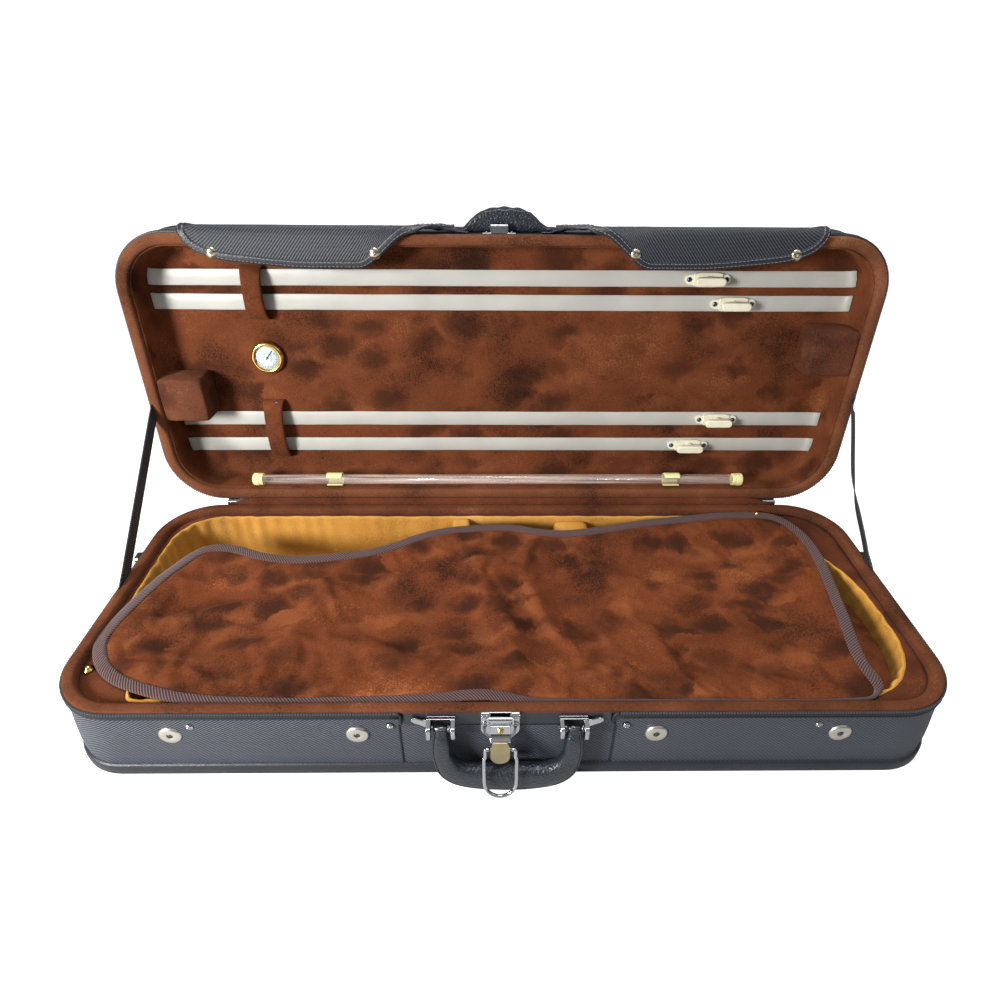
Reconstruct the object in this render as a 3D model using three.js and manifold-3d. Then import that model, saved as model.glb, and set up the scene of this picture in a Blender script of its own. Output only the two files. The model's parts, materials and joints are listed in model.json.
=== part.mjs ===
// Oblong violin case, open, with its bow fittings, latch, handle and rain flaps.
// Units are millimetres. +X runs along the case, -Y is the latch side, +Y the
// hinge side and +Z is up. The origin is the centre of the flat underside.
import * as THREE from 'three';
import { mergeVertices } from 'three/addons/utils/BufferGeometryUtils.js';
import Module from 'manifold-3d';

const wasm = await Module();
wasm.setup();

// ---------------------------------------------------------------- driving dimensions
const HALF_X = 395; // half the length of the case over its walls
const HALF_Y = 150; // half its width
const CORNER = 58; // plan radius of its corners
const BASE_H = 86; // height of the base's rim
const LID_H = 54; // depth of the lid over its top panel
const LID_PANEL = 10; // thickness of that panel
const SEAM = 1; // space between the two rims when shut
const WALL = 9; // thickness of the padded plywood walls
const PANEL = 14; // thickness of the bottom panel
const FOOT_OUT = 3; // how far its trimmed edge stands off the walls
const FOOT_CORNER = 48; // plan radius of its corners, squarer than the rim's
const GAP = 0.3; // clearance between pieces that touch
const OPEN = THREE.MathUtils.degToRad(94); // how far the lid stands open

const HINGE_Y = HALF_Y + 5; // the hinge axis stands just behind the walls
const HINGE_Z = BASE_H + SEAM / 2;
const LID_Z = BASE_H + SEAM; // the lid's rim when shut
const RIM_T = 1.7; // thickness of the velvet that caps each rim
const RIM_DROP = 6; // how far it turns down inside
const TAPE_OUT = 2; // how far the zip tapes stand off the walls
const TAPE_LOW = 77; // lower edge of the base's tape
const TRIM_FREE = 91; // the zips stop this far either side of the middle

const PAD_TOP = 78; // top of the padding round the cavity
const FLOOR_Z = 20; // top of the cavity's floor pad
const LINING = 2; // thickness of the gold lining
const LID_FLOOR = LID_Z + 40; // the lid's inner face, shut

const LATCH_X = -6; // the latch is a little left of the middle
const FRONT = -HALF_Y - GAP; // plane that the front hardware is screwed to

const group = new THREE.Group();

// ---------------------------------------------------------------- materials
const material = (color, roughness, metalness = 0) =>
  new THREE.MeshStandardMaterial({ color, roughness, metalness });

const TWILL = material(0x30343b, 0.85);
const LEATHER = material(0x2a2d33, 0.55);
const ZIP = material(0x1c1e22, 0.7);
const VELVET = material(0x6b3616, 0.95);
const GOLD_VELVET = material(0xc08a30, 0.95);
const SATIN = material(0xd9d6cc, 0.45);
const WEBBING = material(0x202226, 0.8);
const CHROME = material(0xd0d3d6, 0.2, 1);
const CHAMPAGNE = material(0xb8a58a, 0.3, 1);
const BRASS = material(0xd9b45a, 0.25, 1);
const IVORY = material(0xe8e2c8, 0.4);
const CLEAR = material(0xdfe4e4, 0.1);
const WAX = material(0xded69a, 0.5);

// ---------------------------------------------------------------- helpers
function solid(geometry) {
  const bare = geometry.clone();
  bare.deleteAttribute('normal');
  bare.deleteAttribute('uv');
  const merged = mergeVertices(bare, 1e-4);
  return new wasm.Manifold(new wasm.Mesh({
    numProp: 3,
    vertProperties: new Float32Array(merged.attributes.position.array),
    triVerts: new Uint32Array(merged.index.array),
  }));
}

function geometryOf(manifold) {
  const mesh = manifold.getMesh();
  const geometry = new THREE.BufferGeometry();
  geometry.setAttribute('position', new THREE.BufferAttribute(mesh.vertProperties, 3));
  geometry.setIndex(new THREE.BufferAttribute(mesh.triVerts, 1));
  geometry.computeVertexNormals();
  return geometry;
}

const join = (...pieces) =>
  geometryOf(pieces.map(solid).reduce((whole, piece) => whole.add(piece)));

const cut = (body, ...tools) =>
  geometryOf(tools.map(solid).reduce((left, tool) => left.subtract(tool), solid(body)));

function add(parent, name, geometry, look) {
  const mesh = new THREE.Mesh(geometry, look);
  mesh.name = name;
  parent.add(mesh);
  return mesh;
}

// A box from its lowest and highest corners.
function box(x0, x1, y0, y1, z0, z1) {
  const geometry = new THREE.BoxGeometry(x1 - x0, y1 - y0, z1 - z0);
  return geometry.translate((x0 + x1) / 2, (y0 + y1) / 2, (z0 + z1) / 2);
}

// A cylinder along 'x', 'y' or 'z', centred on a point.
function rod(axis, radius, length, x, y, z, sides = 16) {
  const geometry = new THREE.CylinderGeometry(radius, radius, length, sides);
  if (axis === 'x') geometry.rotateZ(-Math.PI / 2);
  if (axis === 'z') geometry.rotateX(Math.PI / 2);
  return geometry.translate(x, y, z);
}

// The case's plan outline, grown (or shrunk) by an offset.
function plan(offset, Kind = THREE.Shape, corner = CORNER) {
  const a = HALF_X + offset;
  const b = HALF_Y + offset;
  const r = corner + offset;
  const outline = new Kind();
  outline.moveTo(a, 0);
  outline.absarc(a - r, b - r, r, 0, Math.PI / 2);
  outline.absarc(r - a, b - r, r, Math.PI / 2, Math.PI);
  outline.absarc(r - a, r - b, r, Math.PI, 1.5 * Math.PI);
  outline.absarc(a - r, r - b, r, 1.5 * Math.PI, 2 * Math.PI);
  outline.closePath();
  return outline;
}

function slab(shape, z0, z1, curveSegments = 8) {
  const geometry = new THREE.ExtrudeGeometry(shape, { depth: z1 - z0, bevelEnabled: false, curveSegments });
  return geometry.translate(0, 0, z0);
}

function ring(outer, inner, z0, z1) {
  const shape = plan(outer);
  shape.holes.push(plan(inner, THREE.Path));
  return slab(shape, z0, z1);
}

// A panel with rounded edges.
function panel(shape, z0, z1, round) {
  const geometry = new THREE.ExtrudeGeometry(shape, {
    depth: z1 - z0 - 2 * round,
    bevelThickness: round,
    bevelSize: round,
    bevelOffset: -round,
    bevelSegments: 3,
    curveSegments: 8,
  });
  return geometry.translate(0, 0, z0 + round);
}

// An outline drawn in the X-Z plane, given thickness from y0 to y1.
function upright(shape, y0, y1, options = {}) {
  const geometry = new THREE.ExtrudeGeometry(shape, {
    depth: y1 - y0, bevelEnabled: false, curveSegments: 8, ...options,
  });
  return geometry.rotateX(Math.PI / 2).translate(0, y1, 0);
}

// An outline drawn in the Y-Z plane, given width from x0 to x1.
function sideways(points, x0, x1) {
  const shape = new THREE.Shape(points.map(([y, z]) => new THREE.Vector2(y, z)));
  const geometry = new THREE.ExtrudeGeometry(shape, { depth: x1 - x0, bevelEnabled: false });
  return geometry.rotateY(Math.PI / 2).rotateX(Math.PI / 2).translate(x0, 0, 0);
}

function wire(points, radius, sides, steps, tension = 0.2) {
  const section = new THREE.Shape();
  section.absarc(0, 0, radius, 0, 2 * Math.PI);
  const path = new THREE.CatmullRomCurve3(
    points.map((point) => new THREE.Vector3(...point)), false, 'catmullrom', tension);
  return new THREE.ExtrudeGeometry(section, { steps, curveSegments: sides, extrudePath: path });
}

const SIDES = [['left', -1], ['right', 1]];

// ---------------------------------------------------------------- base: box and padding
// The space for the violin: square at the back left, and cut off at the front
// left and at the back right, where the padding is wide.
function cavity(offset, Kind = THREE.Shape) {
  const o = offset;
  const outline = new Kind();
  outline.moveTo(0, -134 - o);
  outline.lineTo(300, -134 - o);
  outline.bezierCurveTo(345, -134 - o, 377 + o, -100, 377 + o, -50);
  outline.bezierCurveTo(377 + o, 20, 362 + o, 50, 340 + o, 76);
  outline.bezierCurveTo(318, 112 + o, 300, 134 + o, 260, 134 + o);
  outline.lineTo(-325, 134 + o);
  outline.bezierCurveTo(-360, 134 + o, -379 - o, 110, -379 - o, 80);
  outline.lineTo(-379 - o, -50);
  outline.bezierCurveTo(-379 - o, -85, -350 - o, -80, -340 - o, -100);
  outline.bezierCurveTo(-335 - o, -110, -332 - o, -120, -326 - o, -134 - o);
  outline.closePath();
  return outline;
}

function cavityRing(outer, inner, z0, z1) {
  const shape = outer === null ? plan(-WALL - GAP) : cavity(outer);
  shape.holes.push(cavity(inner, THREE.Path));
  return slab(shape, z0, z1, 6);
}

// A zip tape runs round the case, and is left out at the middle of the front.
function zipTape(z0, z1) {
  const band = ring(TAPE_OUT + GAP, GAP, z0, z1);
  return cut(band, box(-TRIM_FREE, TRIM_FREE, -HALF_Y - 20, -HALF_Y + 20, z0 - 1, z1 + 1));
}

// The velvet cap of a rim: a flat band over the wall and a skirt inside it.
// It points up on the base (dir 1) and down on the lid (dir -1).
function rimCap(z, dir) {
  const flat = [z - dir * RIM_T, z].sort((a, b) => a - b);
  const skirt = [z - dir * (RIM_T + RIM_DROP), z].sort((a, b) => a - b);
  return join(ring(-0.5, -WALL - RIM_T - GAP, ...flat), ring(-WALL - GAP, -WALL - RIM_T - GAP, ...skirt));
}

// The dust blanket lies on the padding and sinks a little way into the cavity.
const BLANKET = [
  [-374, -72], [-374, -45], [-366, -10], [-350, 30], [-330, 64], [-300, 64], [-262, 50], [-210, 47],
  [-140, 60], [-85, 90], [-30, 103], [10, 104], [40, 94], [85, 93], [160, 110], [240, 124],
  [305, 128], [330, 116], [343, 75], [338, 15], [329, -40], [321, -95], [322, -128], [280, -133],
  [100, -133], [20, -129], [-20, -124], [-75, -131], [-160, -134], [-240, -133], [-300, -124], [-350, -104],
];

function blanket() {
  const outline = new THREE.Shape(BLANKET.map(([x, y]) => new THREE.Vector2(x, y)));
  const top = slab(outline, PAD_TOP + GAP, PAD_TOP + 6);
  const sag = solid(slab(outline, PAD_TOP - 10, PAD_TOP + 1))
    .intersect(solid(slab(cavity(-LINING), PAD_TOP - 10, PAD_TOP + 1, 6)));
  return geometryOf(solid(top).add(sag));
}

function makeBaseBox() {
  add(group, 'base_bottom', panel(plan(FOOT_OUT, THREE.Shape, FOOT_CORNER), 0, PANEL - GAP, 2), LEATHER);
  add(group, 'base_wall', ring(0, -WALL, PANEL, BASE_H - RIM_T - GAP), TWILL);
  add(group, 'base_rim', rimCap(BASE_H, 1), VELVET);
  add(group, 'base_zip_tape', zipTape(TAPE_LOW, BASE_H - 2.3), ZIP);
  add(group, 'base_padding', cavityRing(null, LINING + GAP, PANEL, PAD_TOP), VELVET);
  add(group, 'cavity_lining', cavityRing(LINING, 0, FLOOR_Z + GAP, PAD_TOP), GOLD_VELVET);
  add(group, 'cavity_floor', slab(cavity(LINING), PANEL, FLOOR_Z, 6), GOLD_VELVET);
  add(group, 'blanket', blanket(), VELVET);
}

// Two padded supports stand on the cavity's floor at the back: one under the
// violin's neck, high at the back wall, and one beside its body.
function makeSupports() {
  const low = box(-60, -40, 40, 133, FLOOR_Z + GAP, 66);
  const high = box(-60, -40, 109, 133, 60, PAD_TOP + 1);
  add(group, 'neck_support', join(low, high), GOLD_VELVET);
  add(group, 'body_bolster', box(60, 102, 106, 133, FLOOR_Z + GAP, PAD_TOP - 2), GOLD_VELVET);
}

// ---------------------------------------------------------------- front hardware
const HANDLE_Y = -160; // pin that the handle swings on
const HANDLE_Z = 75;
const HANDLE_X = 56; // each bracket's distance from the middle
const HANDLE_REACH = 73; // from the pin to the grip's lower edge
const HANDLE_TILT = THREE.MathUtils.degToRad(4); // the grip leans on the padded wall
const PIN_R = 2;

function makeBrackets() {
  for (const [name, side] of SIDES) {
    const x = side * HANDLE_X;
    const leg = (dx) => box(x + dx - 1.75, x + dx + 1.75, -165, FRONT - 1, 57, 81);
    const lug = new THREE.BoxGeometry(15, 1.8, 7).rotateY(side * -0.6);
    lug.translate(x + side * 16, FRONT - 1.2, 74.5);
    add(group, `handle_bracket_${name}`, join(
      box(x - 12, x + 12, FRONT - 1.8, FRONT, 57, 82),
      leg(-10.25), leg(10.25),
      box(x - 12, x + 12, -165, FRONT - 1, 79, 81),
      rod('x', PIN_R, 20, x, HANDLE_Y, HANDLE_Z, 12),
      lug,
    ), CHROME);
  }
}

// The grip's outline hangs from the pin, which is its local origin.
function gripOutline() {
  const outline = new THREE.Shape();
  const out = HANDLE_X + 7.5;
  const inn = HANDLE_X - 7.5;
  outline.moveTo(-out, -7);
  outline.lineTo(-out, -32);
  outline.bezierCurveTo(-out, -62, -38, -HANDLE_REACH, 0, -HANDLE_REACH);
  outline.bezierCurveTo(38, -HANDLE_REACH, out, -62, out, -32);
  outline.lineTo(out, -7);
  outline.lineTo(inn, -7);
  outline.lineTo(inn, -32);
  outline.bezierCurveTo(inn, -42, 42, -47.5, 30, -47.5);
  outline.lineTo(-30, -47.5);
  outline.bezierCurveTo(-42, -47.5, -inn, -42, -inn, -32);
  outline.lineTo(-inn, -7);
  outline.closePath();
  return outline;
}

function makeHandle() {
  const pivot = new THREE.Group();
  pivot.position.set(0, HANDLE_Y, HANDLE_Z);
  pivot.rotation.x = -HANDLE_TILT;
  group.add(pivot);
  const grip = upright(gripOutline(), -3.5, 3.5, {
    bevelEnabled: true, bevelThickness: 3, bevelSize: 2.5, bevelOffset: -2.5, bevelSegments: 2, curveSegments: 8,
  });
  const eyes = SIDES.flatMap(([, side]) => [
    box(side * HANDLE_X - 5, side * HANDLE_X + 5, -3.2, 3.2, -12, 0),
    rod('x', 3.2, 10, side * HANDLE_X, 0, 0),
  ]);
  const bores = SIDES.map(([, side]) => rod('x', PIN_R + GAP, 14, side * HANDLE_X, 0, 0));
  add(pivot, 'handle_grip', cut(join(grip, ...eyes), ...bores), LEATHER);
}

const LEVER_Y = -156; // pin that the latch lever turns on
const LEVER_Z = 81;
const LEVER_HALF = 9; // half the lever's width
const LOOP_Y = -165.5; // ears of the wire loop, on the lever
const LOOP_Z = 53.5;
const LOOP_HALF = 13.5; // half the loop's width
const LOOP_REACH = 46; // from its ears to the middle of the bend
const LOOP_TILT = Math.atan2(15.5, 43); // it hangs in front of the handle
const LOOP_R = 1.5;

function makeLatch() {
  const x = LATCH_X;
  const outline = new THREE.Shape([
    [-16.5, BASE_H - 0.5], [-16.5, 60], [-9.5, 48], [9.5, 48], [16.5, 60], [16.5, BASE_H - 0.5],
  ].map(([dx, z]) => new THREE.Vector2(x + dx, z)));
  const cheek = (side) => box(x + side * 10.6 - 1, x + side * 10.6 + 1, -158.5, FRONT - 1, 76.5, 85);
  add(group, 'latch_plate', join(
    upright(outline, FRONT - 1.8, FRONT),
    cheek(-1), cheek(1),
    rod('x', 1.5, 22, x, LEVER_Y, LEVER_Z, 12),
  ), CHROME);

  const profile = [
    [-153.8, 83], [-158, 83.5], [-159.4, 66], [-162, 57], [-167.4, 55], [-167.4, 51.5], [-165, 46],
    [-164.4, 30], [-162, 30], [-162, 47], [-157, 56], [-153, 62],
  ];
  const lever = sideways(profile, x - LEVER_HALF, x + LEVER_HALF);
  add(group, 'latch_lever', cut(lever, rod('x', 1.8, 30, x, LEVER_Y, LEVER_Z)), CHAMPAGNE);

  const loop = new THREE.Group();
  loop.position.set(x, LOOP_Y, LOOP_Z);
  loop.rotation.x = -LOOP_TILT;
  group.add(loop);
  const bend = LOOP_REACH - LOOP_HALF;
  const points = [[-LEVER_HALF - GAP, 0, 0], [-LOOP_HALF + 1.5, 0, 0], [-LOOP_HALF, 0, -2], [-LOOP_HALF, 0, -bend]];
  for (let k = 1; k < 6; k += 1) {
    const angle = Math.PI + (k * Math.PI) / 6;
    points.push([LOOP_HALF * Math.cos(angle), 0, -bend + LOOP_HALF * Math.sin(angle)]);
  }
  points.push(...points.slice(0, 4).reverse().map(([px, py, pz]) => [-px, py, pz]));
  add(loop, 'latch_loop', wire(points, LOOP_R, 8, 48), CHROME);
}

const SNAP_X = [-289, -129, 129, 289];
const SNAP_Z = 56;

function makeSnaps() {
  SNAP_X.forEach((x, index) => {
    const disc = rod('y', 10, 4, x, FRONT - 2, SNAP_Z, 24);
    const eye = rod('y', 2.5, 3, x, FRONT - 4, SNAP_Z, 12);
    add(group, `snap_disc_${index + 1}`, cut(disc, eye), CHROME);
  });
}

// The zip pulls start near the hinge corners and run forward along the ends.
function makeZipPulls() {
  for (const [name, side] of SIDES) {
    const face = HALF_X + TAPE_OUT + 2 * GAP;
    const [x0, x1] = [side * face, side * (face + 5)].sort((a, b) => a - b);
    const [t0, t1] = [side * (face + 2), side * (face + 3.6)].sort((a, b) => a - b);
    add(group, `zip_pull_${name}`, join(
      box(x0, x1, 49, 63, 77, 85), box(t0, t1, 52, 60, 58, 79)), CHROME);
  }
}

// ---------------------------------------------------------------- hinges
const KNUCKLE_R = 2.5;
const HINGE_X = 316;

// Each leaf is made about the hinge axis, with its plate hanging from it; the
// lid's leaf is the same plate turned over, with one knuckle between two.
function hingeLeaf(x, dir, spans, pinned) {
  const y = HINGE_Y - 1.6;
  const plate = [dir * 3, dir * 25].map((dz) => HINGE_Z + dz).sort((a, b) => a - b);
  const pieces = [box(x - 18, x + 18, y - 0.8, y + 0.8, ...plate)];
  for (const [from, to] of spans) {
    pieces.push(rod('x', KNUCKLE_R, to - from, x + (from + to) / 2, HINGE_Y, HINGE_Z));
    const web = [HINGE_Z, HINGE_Z + dir * 4].sort((a, b) => a - b);
    pieces.push(box(x + from, x + to, y - 0.8, y + 0.8, ...web));
  }
  if (pinned) pieces.push(rod('x', 1.2, 36, x, HINGE_Y, HINGE_Z, 12));
  const leaf = join(...pieces);
  return pinned ? leaf : cut(leaf, rod('x', 1.5, 40, x, HINGE_Y, HINGE_Z, 12));
}

function makeHinges(lid) {
  for (const [name, side] of SIDES) {
    const x = side * HINGE_X;
    const outer = [[-18, -6.3], [6.3, 18]];
    add(group, `hinge_leaf_base_${name}`, hingeLeaf(x, -1, outer, true), CHROME);
    add(lid, `hinge_leaf_lid_${name}`, hingeLeaf(x, 1, [[-6, 6]], false), CHROME);
  }
}

// ---------------------------------------------------------------- lid
// Everything on the lid is drawn in the shut position and turned open about
// the hinge axis, so the lid's inner face looks down (-Z) as it is drawn.
function hingedGroup(y, z, angle) {
  const pivot = new THREE.Group();
  pivot.position.set(0, y, z);
  pivot.rotation.x = angle;
  const contents = new THREE.Group();
  contents.position.set(0, -y, -z);
  pivot.add(contents);
  group.add(pivot);
  return contents;
}

const LINING_SIDE = -WALL - RIM_T - 2 * GAP; // offset of the lid lining's outer face

function makeLidBox(lid) {
  const top = LID_Z + LID_H;
  const lining = cut(
    slab(plan(-WALL - GAP), LID_Z + RIM_T + RIM_DROP + GAP, top - LID_PANEL - GAP),
    slab(plan(LINING_SIDE - 1), LID_Z, LID_FLOOR),
  );
  add(lid, 'lid_top', panel(plan(0), top - LID_PANEL, top, 4), LEATHER);
  add(lid, 'lid_wall', ring(0, -WALL, LID_Z + RIM_T + GAP, top - LID_PANEL - GAP), TWILL);
  add(lid, 'lid_rim', rimCap(LID_Z, -1), VELVET);
  add(lid, 'lid_zip_tape', zipTape(LID_Z + 1.5, LID_Z + 8), ZIP);
  add(lid, 'lid_lining', lining, VELVET);
}

// Satin ribbons run the length of the lid behind the four bows.
const RIBBON_Y = [-101, -75, 62, 96];
const RIBBON_HALF = 8.5;
const RIBBON_END = 377;
const RIBBON_FACE = LID_FLOOR - GAP - 1;

// A bow tip strap is a velvet loop sewn down at both ends.
function tipStrap(x, y0, y1) {
  const middle = (y0 + y1) / 2;
  const half = (y1 - y0) / 2;
  const arch = (rise, inset) => {
    const curve = new THREE.EllipseCurve(middle, RIBBON_FACE - GAP, half - inset, rise, Math.PI, 2 * Math.PI);
    return curve.getPoints(12).map(({ x: y, y: z }) => [y, z]);
  };
  const outer = arch(15, 0);
  const inner = arch(11, 5).reverse();
  return sideways([...outer, ...inner], x - 10, x + 10);
}

const CLIPS = [[219, -101], [251, -75], [256, 62], [227, 96]];
const CLIP_FACE = RIBBON_FACE - GAP; // the clips are screwed on over the ribbons
const BAR_FACE = 115; // back of the swivelling bar

function makeBowFittings(lid) {
  RIBBON_Y.forEach((y, index) => {
    const strip = box(-RIBBON_END, RIBBON_END, y - RIBBON_HALF, y + RIBBON_HALF, RIBBON_FACE, LID_FLOOR - GAP);
    add(lid, `bow_ribbon_${index + 1}`, strip, SATIN);
  });
  add(lid, 'tip_strap_upper', tipStrap(-268, -114, -56), VELVET);
  add(lid, 'tip_strap_lower', tipStrap(-270, 38, 112), VELVET);
  CLIPS.forEach(([x, y], index) => {
    add(lid, `bow_clip_${index + 1}`, join(
      box(x - 25, x + 25, y - 4.5, y + 4.5, CLIP_FACE - 3.4, CLIP_FACE),
      rod('z', 4.5, CLIP_FACE - 2 - BAR_FACE - GAP, x, y, (CLIP_FACE - 2 + BAR_FACE + GAP) / 2),
    ), IVORY);
    const bar = new THREE.Shape();
    bar.absarc(x + 12, y, 4.5, -Math.PI / 2, Math.PI / 2);
    bar.absarc(x - 12, y, 4.5, Math.PI / 2, 1.5 * Math.PI);
    add(lid, `bow_spinner_${index + 1}`, slab(bar, BAR_FACE - 7, BAR_FACE), IVORY);
  });
}

const BLOCK = { left: [-382, -337, 4, 49], right: [336, 382, -52, -6] };
const BLOCK_FACE = LID_Z + 6;

function makeLidFurniture(lid) {
  for (const [name] of SIDES) {
    add(lid, `bow_block_${name}`, box(...BLOCK[name], BLOCK_FACE, LID_FLOOR - GAP), VELVET);
  }
  const profile = [[0, 0], [18.5, 0], [18.5, 4], [16, 6], [14, 5], [13.6, 3], [0, 3]];
  const lathe = new THREE.LatheGeometry(profile.map(([r, h]) => new THREE.Vector2(r, h)), 32);
  lathe.rotateX(-Math.PI / 2).translate(-268, -13, LID_FLOOR - GAP);
  add(lid, 'hygrometer', lathe, BRASS);
}

// ---------------------------------------------------------------- string tube
const TUBE_Y = 129; // it lies along the hinge side of the lid
const TUBE_Z = LID_Z + 9;
const TUBE_R = 6;
const TUBE_X = [-301, 285];
const TUBE_CLIP_X = { left: -203, right: 205 };

function makeStringTube(lid) {
  const wall = HALF_Y + LINING_SIDE - 1 - GAP;
  for (const [name, x] of Object.entries(TUBE_CLIP_X)) {
    const saddle = box(x - 10, x + 10, TUBE_Y, wall, TUBE_Z - 8, TUBE_Z + 8);
    const bed = rod('x', TUBE_R + GAP + 0.2, 30, x, TUBE_Y, TUBE_Z, 24);
    add(lid, `tube_clip_${name}`, cut(saddle, bed), WAX);
  }
  const [x0, x1] = TUBE_X;
  const outside = rod('x', TUBE_R, x1 - x0, (x0 + x1) / 2, TUBE_Y, TUBE_Z, 20);
  const end = rod('x', TUBE_R + 1, 12, x0 + 6, TUBE_Y, TUBE_Z, 20);
  const inside = rod('x', TUBE_R - 1.2, x1 - x0, (x0 + x1) / 2 + 12, TUBE_Y, TUBE_Z, 20);
  add(lid, 'string_tube', cut(join(outside, end), inside), CLEAR);
  const cap = rod('x', TUBE_R + 1.4, 12, x1, TUBE_Y, TUBE_Z, 20);
  const socket = rod('x', TUBE_R + GAP, 12, x1 - 6 + GAP, TUBE_Y, TUBE_Z, 20);
  add(lid, 'tube_cap', cut(cap, socket), WAX);
}

// ---------------------------------------------------------------- lid front: keeper, grip, flaps
function makeKeeper(lid) {
  const z = LID_Z + 1.5;
  add(lid, 'latch_keeper', join(
    box(LATCH_X - 16.5, LATCH_X + 16.5, FRONT - 1.6, FRONT, z, z + 9),
    box(LATCH_X - 9, LATCH_X + 9, -156, FRONT - 1, z + 1.5, z + 4),
    box(LATCH_X - 9, LATCH_X + 9, -159, -156, z + 1.5, z + 7.5),
  ), CHROME);
}

const GRIP_Z = [LID_Z + 14, LID_Z + 30];

function makeLidGrip(lid) {
  const arch = new THREE.Shape();
  arch.moveTo(-47, -FRONT);
  arch.bezierCurveTo(-36, -FRONT + 4, -32, -FRONT + 22, 0, -FRONT + 22);
  arch.bezierCurveTo(30, -FRONT + 22, 35, -FRONT + 5, 47, -FRONT);
  arch.lineTo(38, -FRONT);
  arch.bezierCurveTo(36, -FRONT + 5, 33, -FRONT + 11, 24, -FRONT + 11);
  arch.lineTo(-24, -FRONT + 11);
  arch.bezierCurveTo(-33, -FRONT + 11, -36, -FRONT + 5, -38, -FRONT);
  arch.closePath();
  const strap = slab(arch, 0, GRIP_Z[1] - GRIP_Z[0]).rotateX(Math.PI).translate(0, 0, GRIP_Z[1]);
  add(lid, 'lid_grip', strap, LEATHER);
}

// The rain flap is in two halves. Each hangs from a stitched root that stands
// off the lid's front wall far enough to clear the zips and the snap discs.
const FLAP_Y = -156.5; // fold line between root and flap
const FLAP_Z = LID_Z - 6.5;
const FLAP_END = 318; // outer end of each half
const FLAP_START = 88; // where it starts beside the handle
const FLAP_DROP = 38.5;

function flapRoot(side) {
  const outline = new THREE.Shape([
    [50, LID_Z + 13], [50, LID_Z - 0.5], [FLAP_START, LID_Z - 0.5], [FLAP_START, FLAP_Z + 1.5],
    [FLAP_END, FLAP_Z + 1.5], [FLAP_END, LID_Z + 13],
  ].map(([x, z]) => new THREE.Vector2(side * x, z)));
  const [x0, x1] = [side * 50, side * FLAP_END].sort((a, b) => a - b);
  return join(
    upright(outline, FLAP_Y - 1, FLAP_Y + 1),
    box(x0, x1, FLAP_Y, FRONT, LID_Z + 9, LID_Z + 13),
  );
}

// One half of the flap, below its fold line, which is its local origin.
function flapOutline(side) {
  const outline = new THREE.Shape();
  const d = FLAP_DROP;
  outline.moveTo(side * FLAP_START, -GAP);
  outline.lineTo(side * FLAP_START, -5);
  outline.bezierCurveTo(side * 105, -12, side * 110, -d, side * 140, -d);
  outline.lineTo(side * 250, -d);
  outline.bezierCurveTo(side * 290, -d, side * FLAP_END, -26, side * FLAP_END, -GAP);
  outline.closePath();
  return outline;
}

function makeFlaps(lid) {
  const fold = new THREE.Vector3(0, FLAP_Y - HINGE_Y, FLAP_Z - HINGE_Z);
  fold.applyAxisAngle(new THREE.Vector3(1, 0, 0), -OPEN);
  const hanging = new THREE.Group();
  hanging.position.set(0, HINGE_Y + fold.y, HINGE_Z + fold.z);
  group.add(hanging);
  for (const [name, side] of SIDES) {
    add(lid, `flap_root_${name}`, flapRoot(side), TWILL);
    add(hanging, `rain_flap_${name}`, upright(flapOutline(side), -1, 1), TWILL);
  }
}

// ---------------------------------------------------------------- lid stays
// A webbing stay at each end stops the lid. It is sewn into the outer edge of
// both rims: on the base a distance from the middle (foot), and on the lid a
// distance up from the hinge axis (entry).
const STAYS = { left: { foot: 12, entry: 117 }, right: { foot: 36, entry: 132 } };
const STAY_HALF = 8; // half its width
const STAY_X = 392.6; // its inner face
const STAY_T = 1.6;

// A point just in front of the open lid's rim, a distance up from the hinge.
function rimPoint(distance) {
  const gap = SEAM / 2 - GAP;
  return [
    HINGE_Y - distance * Math.cos(OPEN) + gap * Math.sin(OPEN),
    HINGE_Z + distance * Math.sin(OPEN) + gap * Math.cos(OPEN),
  ];
}

function makeStays() {
  for (const [name, side] of SIDES) {
    const { foot, entry } = STAYS[name];
    const [headY, headZ] = rimPoint(entry);
    const slope = Math.atan2(headZ - BASE_H, headY - foot);
    const onBase = STAY_HALF / Math.sin(slope);
    const onLid = STAY_HALF / Math.sin(OPEN - slope);
    const corners = [
      [foot - onBase, BASE_H + GAP], [foot + onBase, BASE_H + GAP], rimPoint(entry - onLid), rimPoint(entry + onLid),
    ];
    const [x0, x1] = [side * STAY_X, side * (STAY_X + STAY_T)].sort((a, b) => a - b);
    add(group, `lid_stay_${name}`, sideways(corners, x0, x1), WEBBING);
  }
}

// ---------------------------------------------------------------- assembly
const lid = hingedGroup(HINGE_Y, HINGE_Z, -OPEN);
makeBaseBox();
makeSupports();
makeBrackets();
makeHandle();
makeLatch();
makeSnaps();
makeZipPulls();
makeLidBox(lid);
makeHinges(lid);
makeBowFittings(lid);
makeLidFurniture(lid);
makeStringTube(lid);
makeKeeper(lid);
makeLidGrip(lid);
makeFlaps(lid);
makeStays();

export default group;
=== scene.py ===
"""Looks of the violin case: its cloth, padding and fine hardware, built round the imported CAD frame.

Sizes are in millimetres until a mesh is made. Pieces on the lid are drawn where
they lie with the lid shut, and Shape.piece turns them open with it.
"""

import json
import math

import bmesh
import bpy
from mathutils import Matrix, Vector, noise
from mathutils.bvhtree import BVHTree
from mathutils.geometry import delaunay_2d_cdt


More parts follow.
